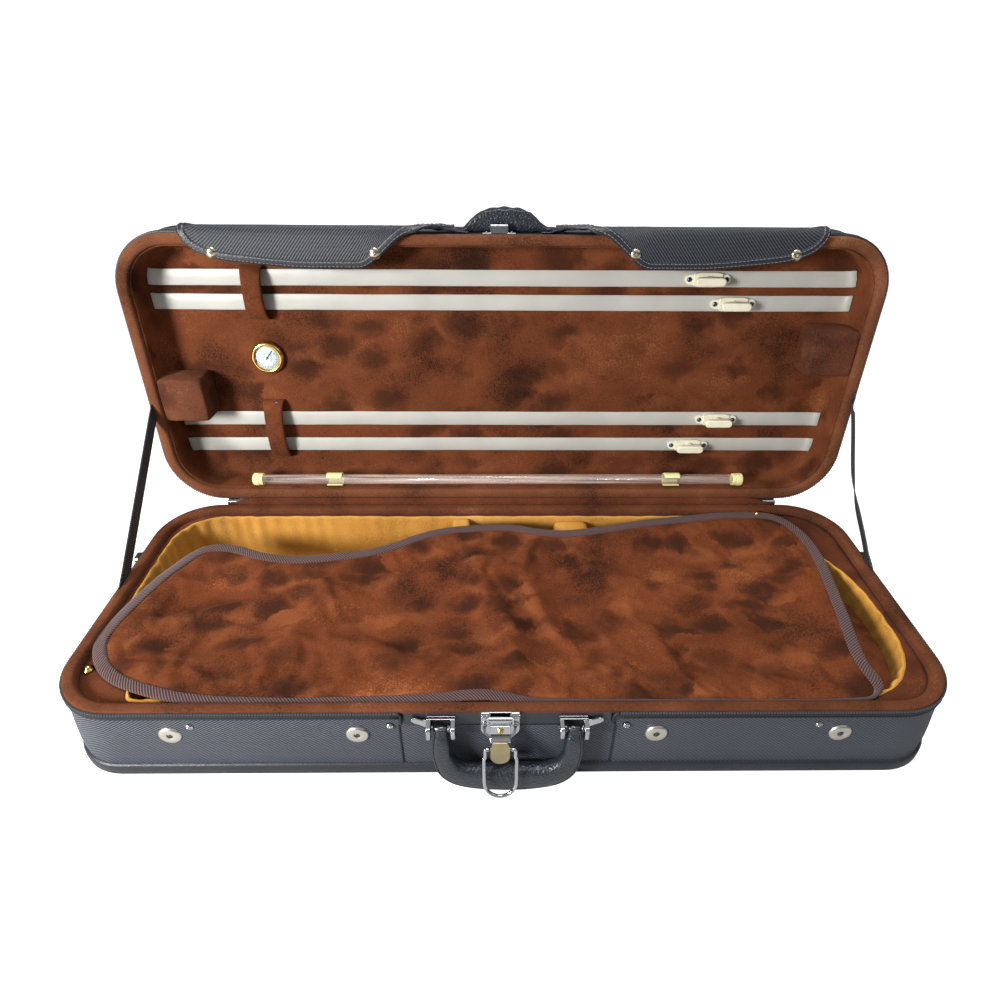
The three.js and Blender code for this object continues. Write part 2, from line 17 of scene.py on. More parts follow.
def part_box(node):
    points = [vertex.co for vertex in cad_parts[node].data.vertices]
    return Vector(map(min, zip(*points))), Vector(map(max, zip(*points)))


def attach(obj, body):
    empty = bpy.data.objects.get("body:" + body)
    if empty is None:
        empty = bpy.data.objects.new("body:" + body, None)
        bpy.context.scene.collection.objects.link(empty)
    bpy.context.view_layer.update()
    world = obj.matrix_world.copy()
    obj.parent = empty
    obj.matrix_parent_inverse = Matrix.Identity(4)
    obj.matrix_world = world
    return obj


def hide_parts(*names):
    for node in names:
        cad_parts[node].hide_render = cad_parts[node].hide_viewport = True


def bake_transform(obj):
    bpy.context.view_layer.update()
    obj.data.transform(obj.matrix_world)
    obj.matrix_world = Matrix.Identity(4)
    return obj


MM = 0.001
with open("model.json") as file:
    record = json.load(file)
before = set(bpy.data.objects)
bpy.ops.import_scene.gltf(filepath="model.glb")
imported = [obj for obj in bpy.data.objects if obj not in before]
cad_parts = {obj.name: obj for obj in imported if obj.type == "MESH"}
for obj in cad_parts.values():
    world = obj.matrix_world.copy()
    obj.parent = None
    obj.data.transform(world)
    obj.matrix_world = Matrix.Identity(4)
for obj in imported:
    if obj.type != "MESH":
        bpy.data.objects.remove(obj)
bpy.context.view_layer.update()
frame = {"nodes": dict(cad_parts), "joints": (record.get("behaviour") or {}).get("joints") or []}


def extent(node):
    """Lowest and highest corner of a CAD node, in millimetres."""
    low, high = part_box(node)
    return low / MM, high / MM


# ---------------------------------------------------------------- sizes, from the frame
WALL_LOW, WALL_HIGH = extent("base_wall")
HALF_X, HALF_Y = WALL_HIGH.x, WALL_HIGH.y
FOOT_TOP = WALL_LOW.z
FOOT_OUT = extent("base_bottom")[1].x - HALF_X
BASE_H = extent("base_rim")[1].z
PAD_TOP = extent("base_padding")[1].z
FLOOR_TOP = extent("cavity_floor")[1].z
HINGE_Y, HINGE_Z = next(
    (j["pos_m"][1] / MM, j["pos_m"][2] / MM) for j in frame["joints"] if j["name"] == "lid_hinge"
)
OPEN = math.radians(94)
CORNER = 58  # plan radius of the case's corners at the rim
FOOT_CORNER = 48  # and at the foot
LID_Z = BASE_H + 1  # the lid's rim when shut
LID_TOP = LID_Z + 54
LID_FLOOR = LID_Z + 40  # the lid's inner face when shut
RIM_IN = 11  # width of the velvet rims
ZIP_END = 91  # the zips stop this far from the middle of the front
LOOP_POINTS = 200  # points in each loop round the case
SIDES = ((-1, "left"), (1, "right"))


def opened(point):
    """Where a point of the shut lid is with the lid open."""
    x, y, z = point
    dy, dz = y - HINGE_Y, z - HINGE_Z
    cos, sin = math.cos(OPEN), math.sin(OPEN)
    return Vector((x, HINGE_Y + dy * cos + dz * sin, HINGE_Z - dy * sin + dz * cos))


def mix(a, b, t):
    return a + (b - a) * t


def smooth(low, high, value):
    t = min(max((value - low) / (high - low), 0), 1)
    return t * t * (3 - 2 * t)


def ripple(x, y, z, size, seed=0):
    """Seeded smooth noise from -1 to 1 that varies over about size millimetres."""
    return noise.noise(Vector((x, y, z)) / size + Vector((seed * 7.3, seed * 3.1, seed)))


# ---------------------------------------------------------------- materials
def srgb(red, green, blue):
    """Linear colour from 0-255 display values."""
    return tuple(
        c / 12.92 if c <= 0.04045 else ((c + 0.055) / 1.055) ** 2.4
        for c in (red / 255, green / 255, blue / 255)
    )


class Look:
    """A node material with a Principled shader, and the record's slot it belongs to."""

    def __init__(self, name, slot, colour, roughness, **sockets):
        self.slot = slot
        self.material = bpy.data.materials.new(name)
        self.material.use_nodes = True
        self.tree = self.material.node_tree
        self.shader = self.tree.nodes["Principled BSDF"]
        self.set(Base_Color=(*colour, 1), Roughness=roughness, **sockets)

    def set(self, **sockets):
        for name, value in sockets.items():
            self.shader.inputs[name.replace("_", " ")].default_value = value

    def node(self, kind, inputs=(), **settings):
        made = self.tree.nodes.new("ShaderNode" + kind)
        for name, value in settings.items():
            setattr(made, name, value)
        for key, value in dict(inputs).items():
            self.feed(made.inputs[key], value)
        return made

    def feed(self, socket, value):
        if isinstance(value, bpy.types.NodeSocket):
            self.tree.links.new(value, socket)
        else:
            socket.default_value = value

    def math(self, operation, a, b=0.0, clamp=False):
        return self.node("Math", {0: a, 1: b}, operation=operation, use_clamp=clamp).outputs[0]

    def weigh(self, a, share, b):
        """A mixture of two values, of which the first has the given share."""
        first = self.math("MULTIPLY", a, share)
        return self.math("ADD", first, self.math("MULTIPLY", b, 1 - share))

    def place(self, source="Object", scale=(1, 1, 1), turn=(0, 0, 0)):
        coordinates = self.node("TexCoord").outputs[source]
        inputs = {"Vector": coordinates, "Scale": scale, "Rotation": turn}
        return self.node("Mapping", inputs).outputs[0]

    def noise(self, where, scale, detail=2.0, roughness=0.5, output="Fac"):
        inputs = {"Vector": where, "Scale": scale, "Detail": detail, "Roughness": roughness}
        return self.node("TexNoise", inputs).outputs[output]

    def strokes(self, where, shift):
        """Soft oval marks about 30 by 20 mm, some of them missing."""
        inputs = {"Vector": where, "Location": shift, "Scale": (0.68, 1.15, 1.15)}
        moved = self.node("Mapping", inputs).outputs[0]
        cells = self.node("TexVoronoi", {"Vector": moved, "Scale": 29.0, "Randomness": 0.9}).outputs
        ovals = self.node("MapRange", {"Value": cells["Distance"], 1: 0.66, 2: 0.16},
                          interpolation_type="SMOOTHSTEP").outputs[0]
        chosen = self.node("SeparateColor", {"Color": cells["Color"]}).outputs[0]
        kept = self.node("MapRange", {"Value": chosen, 1: 0.1, 2: 0.55}).outputs[0]
        return self.math("MULTIPLY", ovals, kept)

    def bands(self, where, scale, direction="X"):
        inputs = {"Vector": where, "Scale": scale}
        return self.node("TexWave", inputs, bands_direction=direction).outputs["Fac"]

    def ramp(self, factor, stops):
        made = self.node("ValToRGB", {"Fac": factor})
        elements = made.color_ramp.elements
        while len(elements) < len(stops):
            elements.new(1)
        for element, (position, colour) in zip(elements, stops):
            element.position = position
            element.color = (*colour, 1)
        return made.outputs["Color"]

    def blend(self, factor, a, b):
        return self.node("Mix", {0: factor, 6: a, 7: b}, data_type="RGBA").outputs[2]

    def colour(self, value):
        self.feed(self.shader.inputs["Base Color"], value)

    def roughen(self, value, low, high):
        spread = self.node("MapRange", {"Value": value, 3: low, 4: high}).outputs[0]
        self.feed(self.shader.inputs["Roughness"], spread)

    def bump(self, height, strength, distance):
        """Adds a bump on top of any there already; distance is in millimetres."""
        socket = self.shader.inputs["Normal"]
        inputs = {"Height": height, "Strength": strength, "Distance": distance * MM}
        if socket.is_linked:
            inputs["Normal"] = socket.links[0].from_socket
        self.feed(socket, self.node("Bump", inputs).outputs["Normal"])


def wave_scale(pitch):
    """Scale of a wave texture whose bands are pitch millimetres apart."""
    return math.pi / 10 / (pitch * MM)


def shaded(colour, factor):
    return tuple(c * factor for c in colour)


def velvet(name, slot, shades, spots, sheen=0.35):
    """Plush with a brushed nap: ragged dark ovals with a painted highlight along one side of each, and
    fine pile.
    """
    dark, middle, light = (srgb(*shade) for shade in shades)
    look = Look(name, slot, middle, 0.9, Sheen_Weight=sheen, Sheen_Roughness=0.45,
                Sheen_Tint=(*light, 1), Specular_IOR_Level=0.12)
    where = look.place()
    warp = look.noise(where, 26.0, 5.0, 0.62, "Color")
    by = {0: warp, 1: (0.045, 0.045, 0.045)}
    shift = look.node("VectorMath", by, operation="MULTIPLY").outputs[0]
    bent = look.node("VectorMath", {0: where, 1: shift}, operation="ADD").outputs[0]
    marks = look.strokes(bent, (0, 0, 0))
    # Painted highlight: a pale crescent on the same side of every dark oval, as if lit from that side.
    painted_highlights = look.math("SUBTRACT", look.strokes(bent, (-0.012, 0.010, 0.009)), marks, True)
    clouds = look.noise(where, 13.0, 3.0, 0.55)
    pile = look.noise(where, 620.0, 3.0, 0.8)
    tone = look.weigh(clouds, 0.5, pile)
    base = look.ramp(tone, [(0.36, dark), (0.5, middle), (0.56, middle), (0.68, light)])
    stroked = look.blend(look.math("MULTIPLY", marks, 0.85 * spots), base, (*dark, 1))
    look.colour(look.blend(look.math("MULTIPLY", painted_highlights, 0.3 * spots), stroked, (*light, 1)))
    look.bump(pile, 0.4, 0.6)
    look.bump(look.math("ADD", clouds, marks), 0.2, 2.0)
    return look


def twill(name, slot, dark, light, pitch):
    """Diagonal nylon twill, drawn from UVs in metres."""
    look = Look(name, slot, dark, 0.55, Specular_IOR_Level=0.4)
    ribs = look.bands(look.place("UV", turn=(0, 0, math.radians(58))), wave_scale(pitch))
    threads = look.bands(look.place("UV"), 150.0, direction="Y")
    grain = look.noise(look.place("UV"), 900.0, 2.0, 0.7)
    patches = look.noise(look.place("UV"), 9.0, 2.0)
    height = look.weigh(ribs, 0.8, threads)
    cloth = look.ramp(look.weigh(height, 0.62, grain), [(0.42, dark), (0.61, light)])
    look.colour(look.blend(look.math("MULTIPLY", patches, 0.35), cloth, (*dark, 1)))
    look.bump(height, 0.8, 0.5)
    return look


def leatherette(name, slot, colour, grain_size=1.1, roughness=0.42, strength=0.35):
    """Embossed leather cloth with a pebbled grain, in millimetres."""
    look = Look(name, slot, colour, roughness, Specular_IOR_Level=0.5)
    where = look.place()
    cells = look.node("TexVoronoi", {"Vector": where, "Scale": 1000 / grain_size / 1.6},
                      feature="SMOOTH_F1").outputs["Distance"]
    patches = look.noise(where, 18.0, 3.0)
    tone = look.weigh(cells, 0.5, patches)
    look.colour(look.ramp(tone, [(0.2, shaded(colour, 1.35)), (0.8, shaded(colour, 0.6))]))
    look.roughen(patches, roughness - 0.08, roughness + 0.14)
    look.bump(cells, strength, 0.7)
    return look


def metal(name, slot, colour, roughness):
    """Plated or polished metal, a little smeared."""
    look = Look(name, slot, colour, roughness, Metallic=1.0)
    where = look.place()
    smears = look.noise(where, 120.0, 4.0, 0.6)
    look.roughen(smears, roughness - 0.06, roughness + 0.06)
    look.colour(look.ramp(look.noise(where, 60.0, 2.0), [(0.3, shaded(colour, 0.86)), (0.7, colour)]))
    look.bump(look.noise(where, 700.0, 2.0), 0.05, 0.1)
    return look


def plastic(name, slot, colour, roughness=0.35):
    """Anything moulded, painted or sewn in one colour."""
    look = Look(name, slot, colour, roughness)
    where = look.place()
    look.colour(look.ramp(look.noise(where, 90.0, 3.0), [(0.3, shaded(colour, 0.88)), (0.7, colour)]))
    look.bump(look.noise(where, 500.0), 0.08, 0.1)
    return look


def webbing(name, slot, dark, light, pitch):
    """Ribbed tape, drawn from UVs: u runs along it."""
    look = Look(name, slot, dark, 0.6, Specular_IOR_Level=0.3)
    where = look.place("UV")
    ribs = look.bands(where, wave_scale(pitch))
    fuzz = look.noise(where, 1200.0, 2.0)
    look.colour(look.ramp(look.weigh(ribs, 0.7, fuzz), [(0.25, dark), (0.75, light)]))
    look.bump(ribs, 0.5, 0.4)
    return look


def herringbone(name, slot, dark, light, half_width, pitch):
    """Braid whose ribs point along it from both sides; u runs along it and v across."""
    look = Look(name, slot, dark, 0.75, Sheen_Weight=0.2, Specular_IOR_Level=0.25)
    split = look.node("SeparateXYZ", {"Vector": look.place("UV")})
    side = look.math("ABSOLUTE", look.math("SUBTRACT", split.outputs[1], half_width * MM))
    slant = look.math("ADD", split.outputs[0], look.math("MULTIPLY", side, 0.9))
    ribs = look.math("SINE", look.math("MULTIPLY", slant, 2 * math.pi / (pitch * MM)))
    ribs = look.node("MapRange", {"Value": ribs, 1: -1.0, 2: 1.0}).outputs[0]
    fuzz = look.noise(look.place("UV"), 1500.0, 2.0)
    look.colour(look.ramp(look.weigh(ribs, 0.72, fuzz), [(0.2, dark), (0.8, light)]))
    look.bump(ribs, 0.7, 0.5)
    return look


def satin(name, slot, colour):
    """Fine ribbed ribbon, drawn from UVs in metres."""
    look = Look(name, slot, colour, 0.38, Sheen_Weight=0.15, Specular_IOR_Level=0.5)
    where = look.place("UV")
    ribs = look.bands(where, wave_scale(1.1))
    waves = look.noise(where, 22.0, 2.0)
    look.colour(look.ramp(look.weigh(ribs, 0.25, waves), [(0.3, shaded(colour, 0.82)), (0.65, colour)]))
    look.bump(ribs, 0.18, 0.2)
    look.bump(waves, 0.2, 1.0)
    return look


def clear(name, slot):
    """Thin clear plastic, seen mostly by long pale bands of opacity along it: painted reflections."""
    look = Look(name, slot, srgb(226, 206, 196), 0.1, Specular_IOR_Level=0.8, Coat_Weight=0.6)
    painted_reflections = look.noise(look.place(scale=(0.02, 1, 1)), 420.0, 2.0, 0.7)
    # Painted reflections: the pale colour becomes more opaque where the stretched noise is high.
    alpha = look.node("MapRange", {"Value": painted_reflections, 1: 0.42, 2: 0.7, 3: 0.03, 4: 0.5}).outputs[0]
    look.feed(look.shader.inputs["Alpha"], alpha)
    return look


LOOKS = {
    "twill": twill("case twill", "twill", srgb(4, 5, 8), srgb(92, 99, 112), 2.1),
    "flap twill": twill("flap twill", "twill", srgb(12, 13, 17), srgb(66, 71, 80), 1.6),
    "trim": leatherette("case trim", "leather", srgb(28, 32, 39)),
    "hide": leatherette("handle leather", "leather", srgb(29, 34, 42), 1.15, 0.3, 1.0),
    "zip": webbing("zip tape", "zip", srgb(12, 13, 16), srgb(44, 47, 53), 1.2),
    "teeth": plastic("zip teeth", "zip", srgb(58, 61, 67), 0.3),
    "thread": plastic("sewing thread", "twill", srgb(22, 22, 25), 0.7),
    "pale thread": plastic("pale sewing thread", "twill", srgb(120, 122, 126), 0.6),
    "rim": velvet("velvet of the rims", "velvet", ((60, 33, 20), (104, 62, 41), (140, 92, 66)), 0.2, 0.2),
    "low rim": velvet(
        "velvet of the lower rim", "velvet", ((46, 24, 14), (90, 50, 30), (124, 76, 50)), 0.3, 0.2),
    "velvet": velvet("lining velvet", "velvet", ((38, 19, 10), (98, 52, 29), (140, 83, 52)), 0.8),
    "velvet pad": velvet("padding velvet", "velvet", ((38, 18, 10), (86, 44, 25), (122, 70, 44)), 0.5),
    "blanket": velvet("blanket velvet", "velvet", ((32, 15, 8), (96, 48, 24), (148, 86, 50)), 0.9, 0.3),
    "block": velvet("block velvet", "velvet", ((46, 25, 17), (90, 51, 34), (136, 86, 62)), 0.7, 0.4),
    "gold": velvet(
        "gold velvet", "gold_velvet", ((146, 98, 38), (186, 134, 60), (212, 166, 92)), 0.12, 0.25),
    "satin": satin("satin ribbon", "satin", srgb(182, 182, 176)),
    "braid": herringbone("woven braid", "velvet", srgb(24, 13, 12), srgb(98, 70, 68), 5.5, 3.0),
    "webbing": webbing("stay webbing", "webbing", srgb(18, 19, 22), srgb(66, 69, 75), 2.2),
    "chrome": metal("polished chrome", "chrome", srgb(186, 188, 192), 0.1),
    "dark steel": metal("dark steel", "chrome", srgb(96, 98, 102), 0.3),
    "champagne": metal("champagne plating", "champagne", srgb(172, 158, 122), 0.34),
    "brass": metal("polished brass", "brass", srgb(232, 196, 110), 0.2),
    "nickel": metal("warm nickel", "brass", srgb(206, 194, 170), 0.22),
    "disc": metal("brushed nickel", "chrome", srgb(204, 200, 190), 0.34),
    "screw": metal("blued screws", "ivory", srgb(96, 106, 140), 0.25),
    "ivory": plastic("ivory plastic", "ivory", srgb(232, 228, 204)),
    "wax": plastic("pale yellow plastic", "wax", srgb(224, 222, 158)),
    "dial": plastic("dial face", "brass", srgb(206, 218, 226), 0.4),
    "ink": plastic("dial ink", "brass", srgb(40, 42, 50), 0.5),
    # Near-black velvet for the painted shade in the crease along each rim.
    "seam": plastic("painted crease shade", "velvet", srgb(34, 17, 10), 0.9),
    "clear": clear("clear tube", "clear"),
}


# ---------------------------------------------------------------- mesh building
class Shape:
    """Collects surfaces, then makes one piece of them."""

    def __init__(self):
        self.points, self.faces, self.uvs = [], [], []

    def grid(self, rows, wrap_cols=False, caps=False):
        """Quads through rows of points, with UVs in metres: u along a row, v from row to row."""
        first, n, m = len(self.points), len(rows), len(rows[0])
        self.points.extend(Vector(p) for row in rows for p in row)
        u = travel(rows[n // 2] + rows[n // 2][:1])
        v = travel([row[0] for row in rows])
        for i in range(n - 1):
            for j in range(m if wrap_cols else m - 1):
                corners = [(i, j), (i, j + 1), (i + 1, j + 1), (i + 1, j)]
                self.faces.append([first + a * m + b % m for a, b in corners])
                self.uvs.append([(u[b] * MM, v[a] * MM) for a, b in corners])
        if caps:
            self.fan(range(first, first + m))
            self.fan(range(first + (n - 1) * m, first + n * m))
        return self

    def fan(self, ring):
        """Closes a ring of points with triangles about its middle."""
        ring = list(ring)
        middle = sum((self.points[k] for k in ring), Vector()) / len(ring)
        self.points.append(middle)
        for a, b in zip(ring, ring[1:] + ring[:1]):
            self.faces.append([a, b, len(self.points) - 1])
            self.uvs.append([(self.points[k].x * MM, self.points[k].y * MM) for k in self.faces[-1]])

    def close(self):
        """Closes the last loop round the case with a fan of faces."""
        self.fan(range(len(self.points) - LOOP_POINTS, len(self.points)))

    def sheet(self, outline, height, spacing=9):
        """A triangulated sheet inside an outline drawn in plan, with height(x, y) above it."""
        edge = resample(outline, spacing)
        low_x, high_x = min(p[0] for p in edge), max(p[0] for p in edge)
        low_y, high_y = min(p[1] for p in edge), max(p[1] for p in edge)
        points, count = [Vector(p) for p in edge], len(edge)
        for row in range(int((high_y - low_y) / (spacing * 0.87)) + 1):
            for col in range(int((high_x - low_x) / spacing) + 2):
                point = Vector((low_x + (col + row % 2 / 2) * spacing, low_y + row * spacing * 0.87))
                if inside(point, edge) and clearance(point, edge) > spacing * 0.55:
                    points.append(point)
        ring = [(k, (k + 1) % count) for k in range(count)]
        found, _, faces, *_ = delaunay_2d_cdt(points, ring, [list(range(count))], 1, 1e-4)
        first = len(self.points)
        self.points.extend(Vector((p.x, p.y, height(p.x, p.y))) for p in found)
        for face in faces:
            self.faces.append([first + k for k in face])
            self.uvs.append([(found[k].x * MM, found[k].y * MM) for k in face])
        return count

    def box(self, low, high, turn=None):
        """A box between two corners, turned by a matrix about its own middle."""
        low, high = Vector(low), Vector(high)
        middle, first = (low + high) / 2, len(self.points)
        for k in range(8):
            corner = Vector([(low, high)[k >> axis & 1][axis] for axis in range(3)])
            self.points.append(middle + turn @ (corner - middle) if turn else corner)
        for quad in ((0, 2, 3, 1), (4, 5, 7, 6), (0, 1, 5, 4), (2, 6, 7, 3), (0, 4, 6, 2), (1, 3, 7, 5)):
            self.add_face([first + k for k in quad])
        return self

    def add_face(self, face):
        self.faces.append(face)
        corners = [self.points[k] for k in face]
        self.uvs.append([((p.x + p.y) * MM, p.z * MM) for p in corners])

    def prism(self, outline, axis, low, high):
        """An outline given depth along an axis; its two numbers are the other axes in order."""
        others = [k for k in range(3) if k != "xyz".index(axis)]
        first, n = len(self.points), len(outline)
        for level in (low, high):
            for a, b in outline:
                point = Vector((level, level, level))
                point[others[0]], point[others[1]] = a, b
                self.points.append(point)
        self.add_face([first + k for k in range(n)])
        self.add_face([first + n + k for k in reversed(range(n))])
        for k in range(n):
            after = (k + 1) % n
            self.add_face([first + k, first + after, first + n + after, first + n + k])
        return self

    def lathe(self, profile, centre, axis="z", steps=28):
        """Turns (radius, height) points about an axis through centre, heights along it."""
        others = [k for k in range(3) if k != "xyz".index(axis)]
        rows = []
        for radius, height in profile:
            row = []
            for k in range(steps):
                angle = 2 * math.pi * k / steps
                point = Vector(centre)
                point["xyz".index(axis)] += height
                point[others[0]] += radius * math.cos(angle)
                point[others[1]] += radius * math.sin(angle)
                row.append(point)
            rows.append(row)
        return self.grid(rows, wrap_cols=True, caps=True)

    def tube(self, path, radius, steps=10):
        """A tube along a path."""
        path = [Vector(p) for p in path]
        rows, side = [], None
        for k, point in enumerate(path):
            ahead = (path[min(k + 1, len(path) - 1)] - path[max(k - 1, 0)]).normalized()
            if side is None:
                level = Vector((0, 0, 1)) if abs(ahead.z) < 0.9 else Vector((1, 0, 0))
                side = ahead.cross(level).normalized()
            side = (side - ahead * side.dot(ahead)).normalized()
            up = side.cross(ahead)
            turns = [2 * math.pi * j / steps for j in range(steps)]
            rows.append([point + radius * (side * math.cos(a) + up * math.sin(a)) for a in turns])
        return self.grid(rows, wrap_cols=True, caps=True)

    def piece(self, name, look, body, lid=False, bevel=0.0, thick=0.0, rounds=0, replaces=(),
              flat=False):
        """The collected surfaces as a piece that rides on a body."""
        points = [opened(p) for p in self.points] if lid else self.points
        mesh = bpy.data.meshes.new(name)
        mesh.from_pydata([p * MM for p in points], [], self.faces)
        layer = mesh.uv_layers.new(name="UVMap")
        layer.data.foreach_set("uv", [c for face in self.uvs for uv in face for c in uv])
        tidy = bmesh.new()
        tidy.from_mesh(mesh)
        bmesh.ops.recalc_face_normals(tidy, faces=tidy.faces)
        tidy.to_mesh(mesh)
        tidy.free()
        mesh.polygons.foreach_set("use_smooth", [not flat] * len(mesh.polygons))
        mesh.materials.append(LOOKS[look].material)
        obj = bpy.data.objects.new(name, mesh)
        bpy.context.scene.collection.objects.link(obj)
        if bevel:
            edge = obj.modifiers.new("edge", "BEVEL")
            edge.width, edge.segments, edge.limit_method = bevel * MM, 2, "ANGLE"
            edge.angle_limit = math.radians(32)
            edge.harden_normals = True
        if thick:
            cloth = obj.modifiers.new("thickness", "SOLIDIFY")
            cloth.thickness, cloth.offset = thick * MM, 0
        if rounds:
            obj.modifiers.new("rounding", "SUBSURF").levels = rounds
            obj.modifiers["rounding"].render_levels = rounds
        if body:
            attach(obj, body)
        if replaces:
            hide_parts(*replaces)
        return obj


def travel(points):
    """Distance travelled at each of a run of points."""
    total = [0.0]
    for a, b in zip(points, points[1:]):
        total.append(total[-1] + (Vector(b) - Vector(a)).length)
    return total


def resample(outline, spacing, closed=True):
    """Points at about even spacing along an outline."""
    corners = [Vector(p) for p in outline]
    if closed:
        corners.append(corners[0])
    reach = travel(corners)
    count = max(int(reach[-1] / spacing), 3)
    points, k = [], 0
    for step in range(count + (not closed)):
        target = reach[-1] * step / count
        while k < len(reach) - 2 and reach[k + 1] < target:
            k += 1
        share = (target - reach[k]) / (reach[k + 1] - reach[k])
        points.append(corners[k].lerp(corners[k + 1], share))
    return points


def curve(points, steps=8, closed=False):
    """A smooth line through points."""
    points, n, line = [Vector(p) for p in points], len(points), []
    for k in range(n if closed else n - 1):
        if closed:
            a, b, c, d = (points[(k + j) % n] for j in (-1, 0, 1, 2))
        else:
            a, b, c, d = (points[min(max(k + j, 0), n - 1)] for j in (-1, 0, 1, 2))
        for step in range(steps):
            t = step / steps
            line.append(0.5 * (2 * b + (c - a) * t + (2 * a - 5 * b + 4 * c - d) * t * t
                               + (3 * b - a - 3 * c + d) * t ** 3))
    return line if closed else line + [points[-1]]


def inside(point, ring):
    """Whether a plan point is inside a ring of points."""
    hit = False
    for a, b in zip(ring, ring[1:] + ring[:1]):
        if (a[1] > point[1]) != (b[1] > point[1]):
            if point[0] < a[0] + (b[0] - a[0]) * (point[1] - a[1]) / (b[1] - a[1]):
                hit = not hit
    return hit


def clearance(point, ring):
    """Distance in plan from a point to a ring of points."""
    point, best = Vector(point[:2]), 1e9
    for a, b in zip(ring, ring[1:] + ring[:1]):
        a, b = Vector(a[:2]), Vector(b[:2])
        t = min(max((point - a).dot(b - a) / max((b - a).length_squared, 1e-9), 0), 1)
        best = min(best, (point - a - (b - a) * t).length)
    return best


# ---------------------------------------------------------------- the case's plan
def outline(offset=0.0, corner=CORNER):
    """Points round the case's plan, from the middle of the front towards +X."""
    a, b, r = HALF_X + offset, HALF_Y + offset, corner + offset
    points = []

    def line(x0, y0, x1, y1, count):
        points.extend(Vector((mix(x0, x1, k / count), mix(y0, y1, k / count))) for k in range(count))

    def arc(x, y, start):
        for k in range(12):
            angle = math.radians(start + 7.5 * k)
            points.append(Vector((x + r * math.cos(angle), y + r * math.sin(angle))))

    line(0, -b, a - r, -b, 30)
    arc(a - r, r - b, -90)
    line(a, r - b, a, b - r, 16)
    arc(a - r, b - r, 0)
    line(a - r, b, r - a, b, 60)
    arc(r - a, b - r, 90)
    line(-a, b - r, -a, r - b, 16)
    arc(r - a, r - b, 180)
    line(r - a, -b, 0, -b, 30)
    return points


def loop(offset, z, corner=CORNER):
    return [Vector((p.x, p.y, z)) for p in outline(offset, corner)]


def sweep(profile, corner=CORNER):
    """A surface with the same (offset, z) profile all round the case."""
    return Shape().grid([loop(offset, z, corner) for offset, z in profile], wrap_cols=True)


def zip_span(offset, z):
    """The part of a loop that the zip runs along, ending at the middle of the front."""
    return [Vector((ZIP_END, -HALF_Y - offset, z))] + [
        p for p in loop(offset, z) if p.y > -HALF_Y - offset + 0.01 or abs(p.x) > ZIP_END
    ] + [Vector((-ZIP_END, -HALF_Y - offset, z))]


# The space for the violin, as part.mjs draws it.
CAVITY = [
    ((0, -134), (300, -134)),
    ((300, -134), (345, -134), (377, -100), (377, -50)),
    ((377, -50), (377, 20), (362, 50), (340, 76)),
    ((340, 76), (318, 112), (300, 134), (260, 134)),
    ((260, 134), (-325, 134)),
    ((-325, 134), (-360, 134), (-379, 110), (-379, 80)),
    ((-379, 80), (-379, -50)),
    ((-379, -50), (-379, -85), (-350, -80), (-340, -100)),
    ((-340, -100), (-335, -110), (-332, -120), (-326, -134)),
    ((-326, -134), (0, -134)),
]


def bezier(controls, t):
    points = [Vector(p) for p in controls]
    while len(points) > 1:
        points = [a.lerp(b, t) for a, b in zip(points, points[1:])]
    return points[0]


def cavity_ring(spacing=6):
    rough = [bezier(part, k / 24) for part in CAVITY for k in range(24)]
    return resample(rough, spacing)


def outward(ring):
    """Outward normals of a ring that runs anticlockwise."""
    normals = []
    for before, after in zip(ring[-1:] + ring[:-1], ring[1:] + ring[:1]):
        along = (after - before).normalized()
        normals.append(Vector((along.y, -along.x)))
    return normals


# ---------------------------------------------------------------- base: outside
def wall_offset(x, y, height):
    """How far the padded twill stands off the plywood; it is flat behind the hardware."""
    hardware = 1 - smooth(92, 150, abs(x)) if y < -HALF_Y + 20 else 0
    lumps = 0.5 * ripple(x, y, height, 55, 2)
    return 0.2 + (1 - hardware) * max(1.5 * math.sin(math.pi * height) + lumps * height, 0)


def twill_wall(low, high, low_corner, high_corner, levels=9):
    """Rows up a twill wall, from its foot to its rim."""
    rows = []
    for k in range(levels + 1):
        height = k / levels
        corner = mix(low_corner, high_corner, smooth(0, 0.8, height))
        flat, proud = outline(0, corner), outline(1, corner)
        z = mix(low, high, height)
        rows.append([
            Vector((*(p + (q - p) * wall_offset(p.x, p.y, height)), z)) for p, q in zip(flat, proud)
        ])
    return rows


# Offset and depth of a rim's rolled velvet, from the outside, over the top and down inside.
RIM = [(0.5, 3.2), (0.7, 1.4), (0.2, 0.4), (-1.6, -0.3), (-4.5, -0.4), (-7.5, -0.2), (-9.6, 0.8),
       (-10.8, 3.5), (-RIM_IN, 9)]


def make_base_outside():
    tray = sweep([
        (-8, 0.3), (1, 0), (2.4, 0.6), (FOOT_OUT, 2), (FOOT_OUT + 0.2, 7), (FOOT_OUT, 11.5),
        (2, 13.2), (0, 13.8),
    ], FOOT_CORNER)
    tray.fan(range(LOOP_POINTS))
    tray.piece("bottom_trim", "trim", "base", replaces=["base_bottom"])
    wall = twill_wall(FOOT_TOP - 0.6, BASE_H - 2.2, FOOT_CORNER, CORNER)
    Shape().grid(wall, wrap_cols=True).piece("base_twill", "twill", "base", replaces=["base_wall"])
    rim = sweep([(offset, BASE_H - depth) for offset, depth in RIM])
    rim.piece("base_rim_velvet", "low rim", "base", rounds=1, replaces=["base_rim"])
    rim_crease_shade("base", BASE_H - 7.6, "base", False)


def rim_crease_shade(name, z, body, lid):
    """A dark line of painted shade in the crease where a rim meets the velvet inside it."""
    line = [Vector((*p, z)) for p in outline(-RIM_IN - 0.1)]
    Shape().tube(line + line[:1], 0.6, 6).piece(f"{name}_rim_crease_shade", "seam", body, lid)


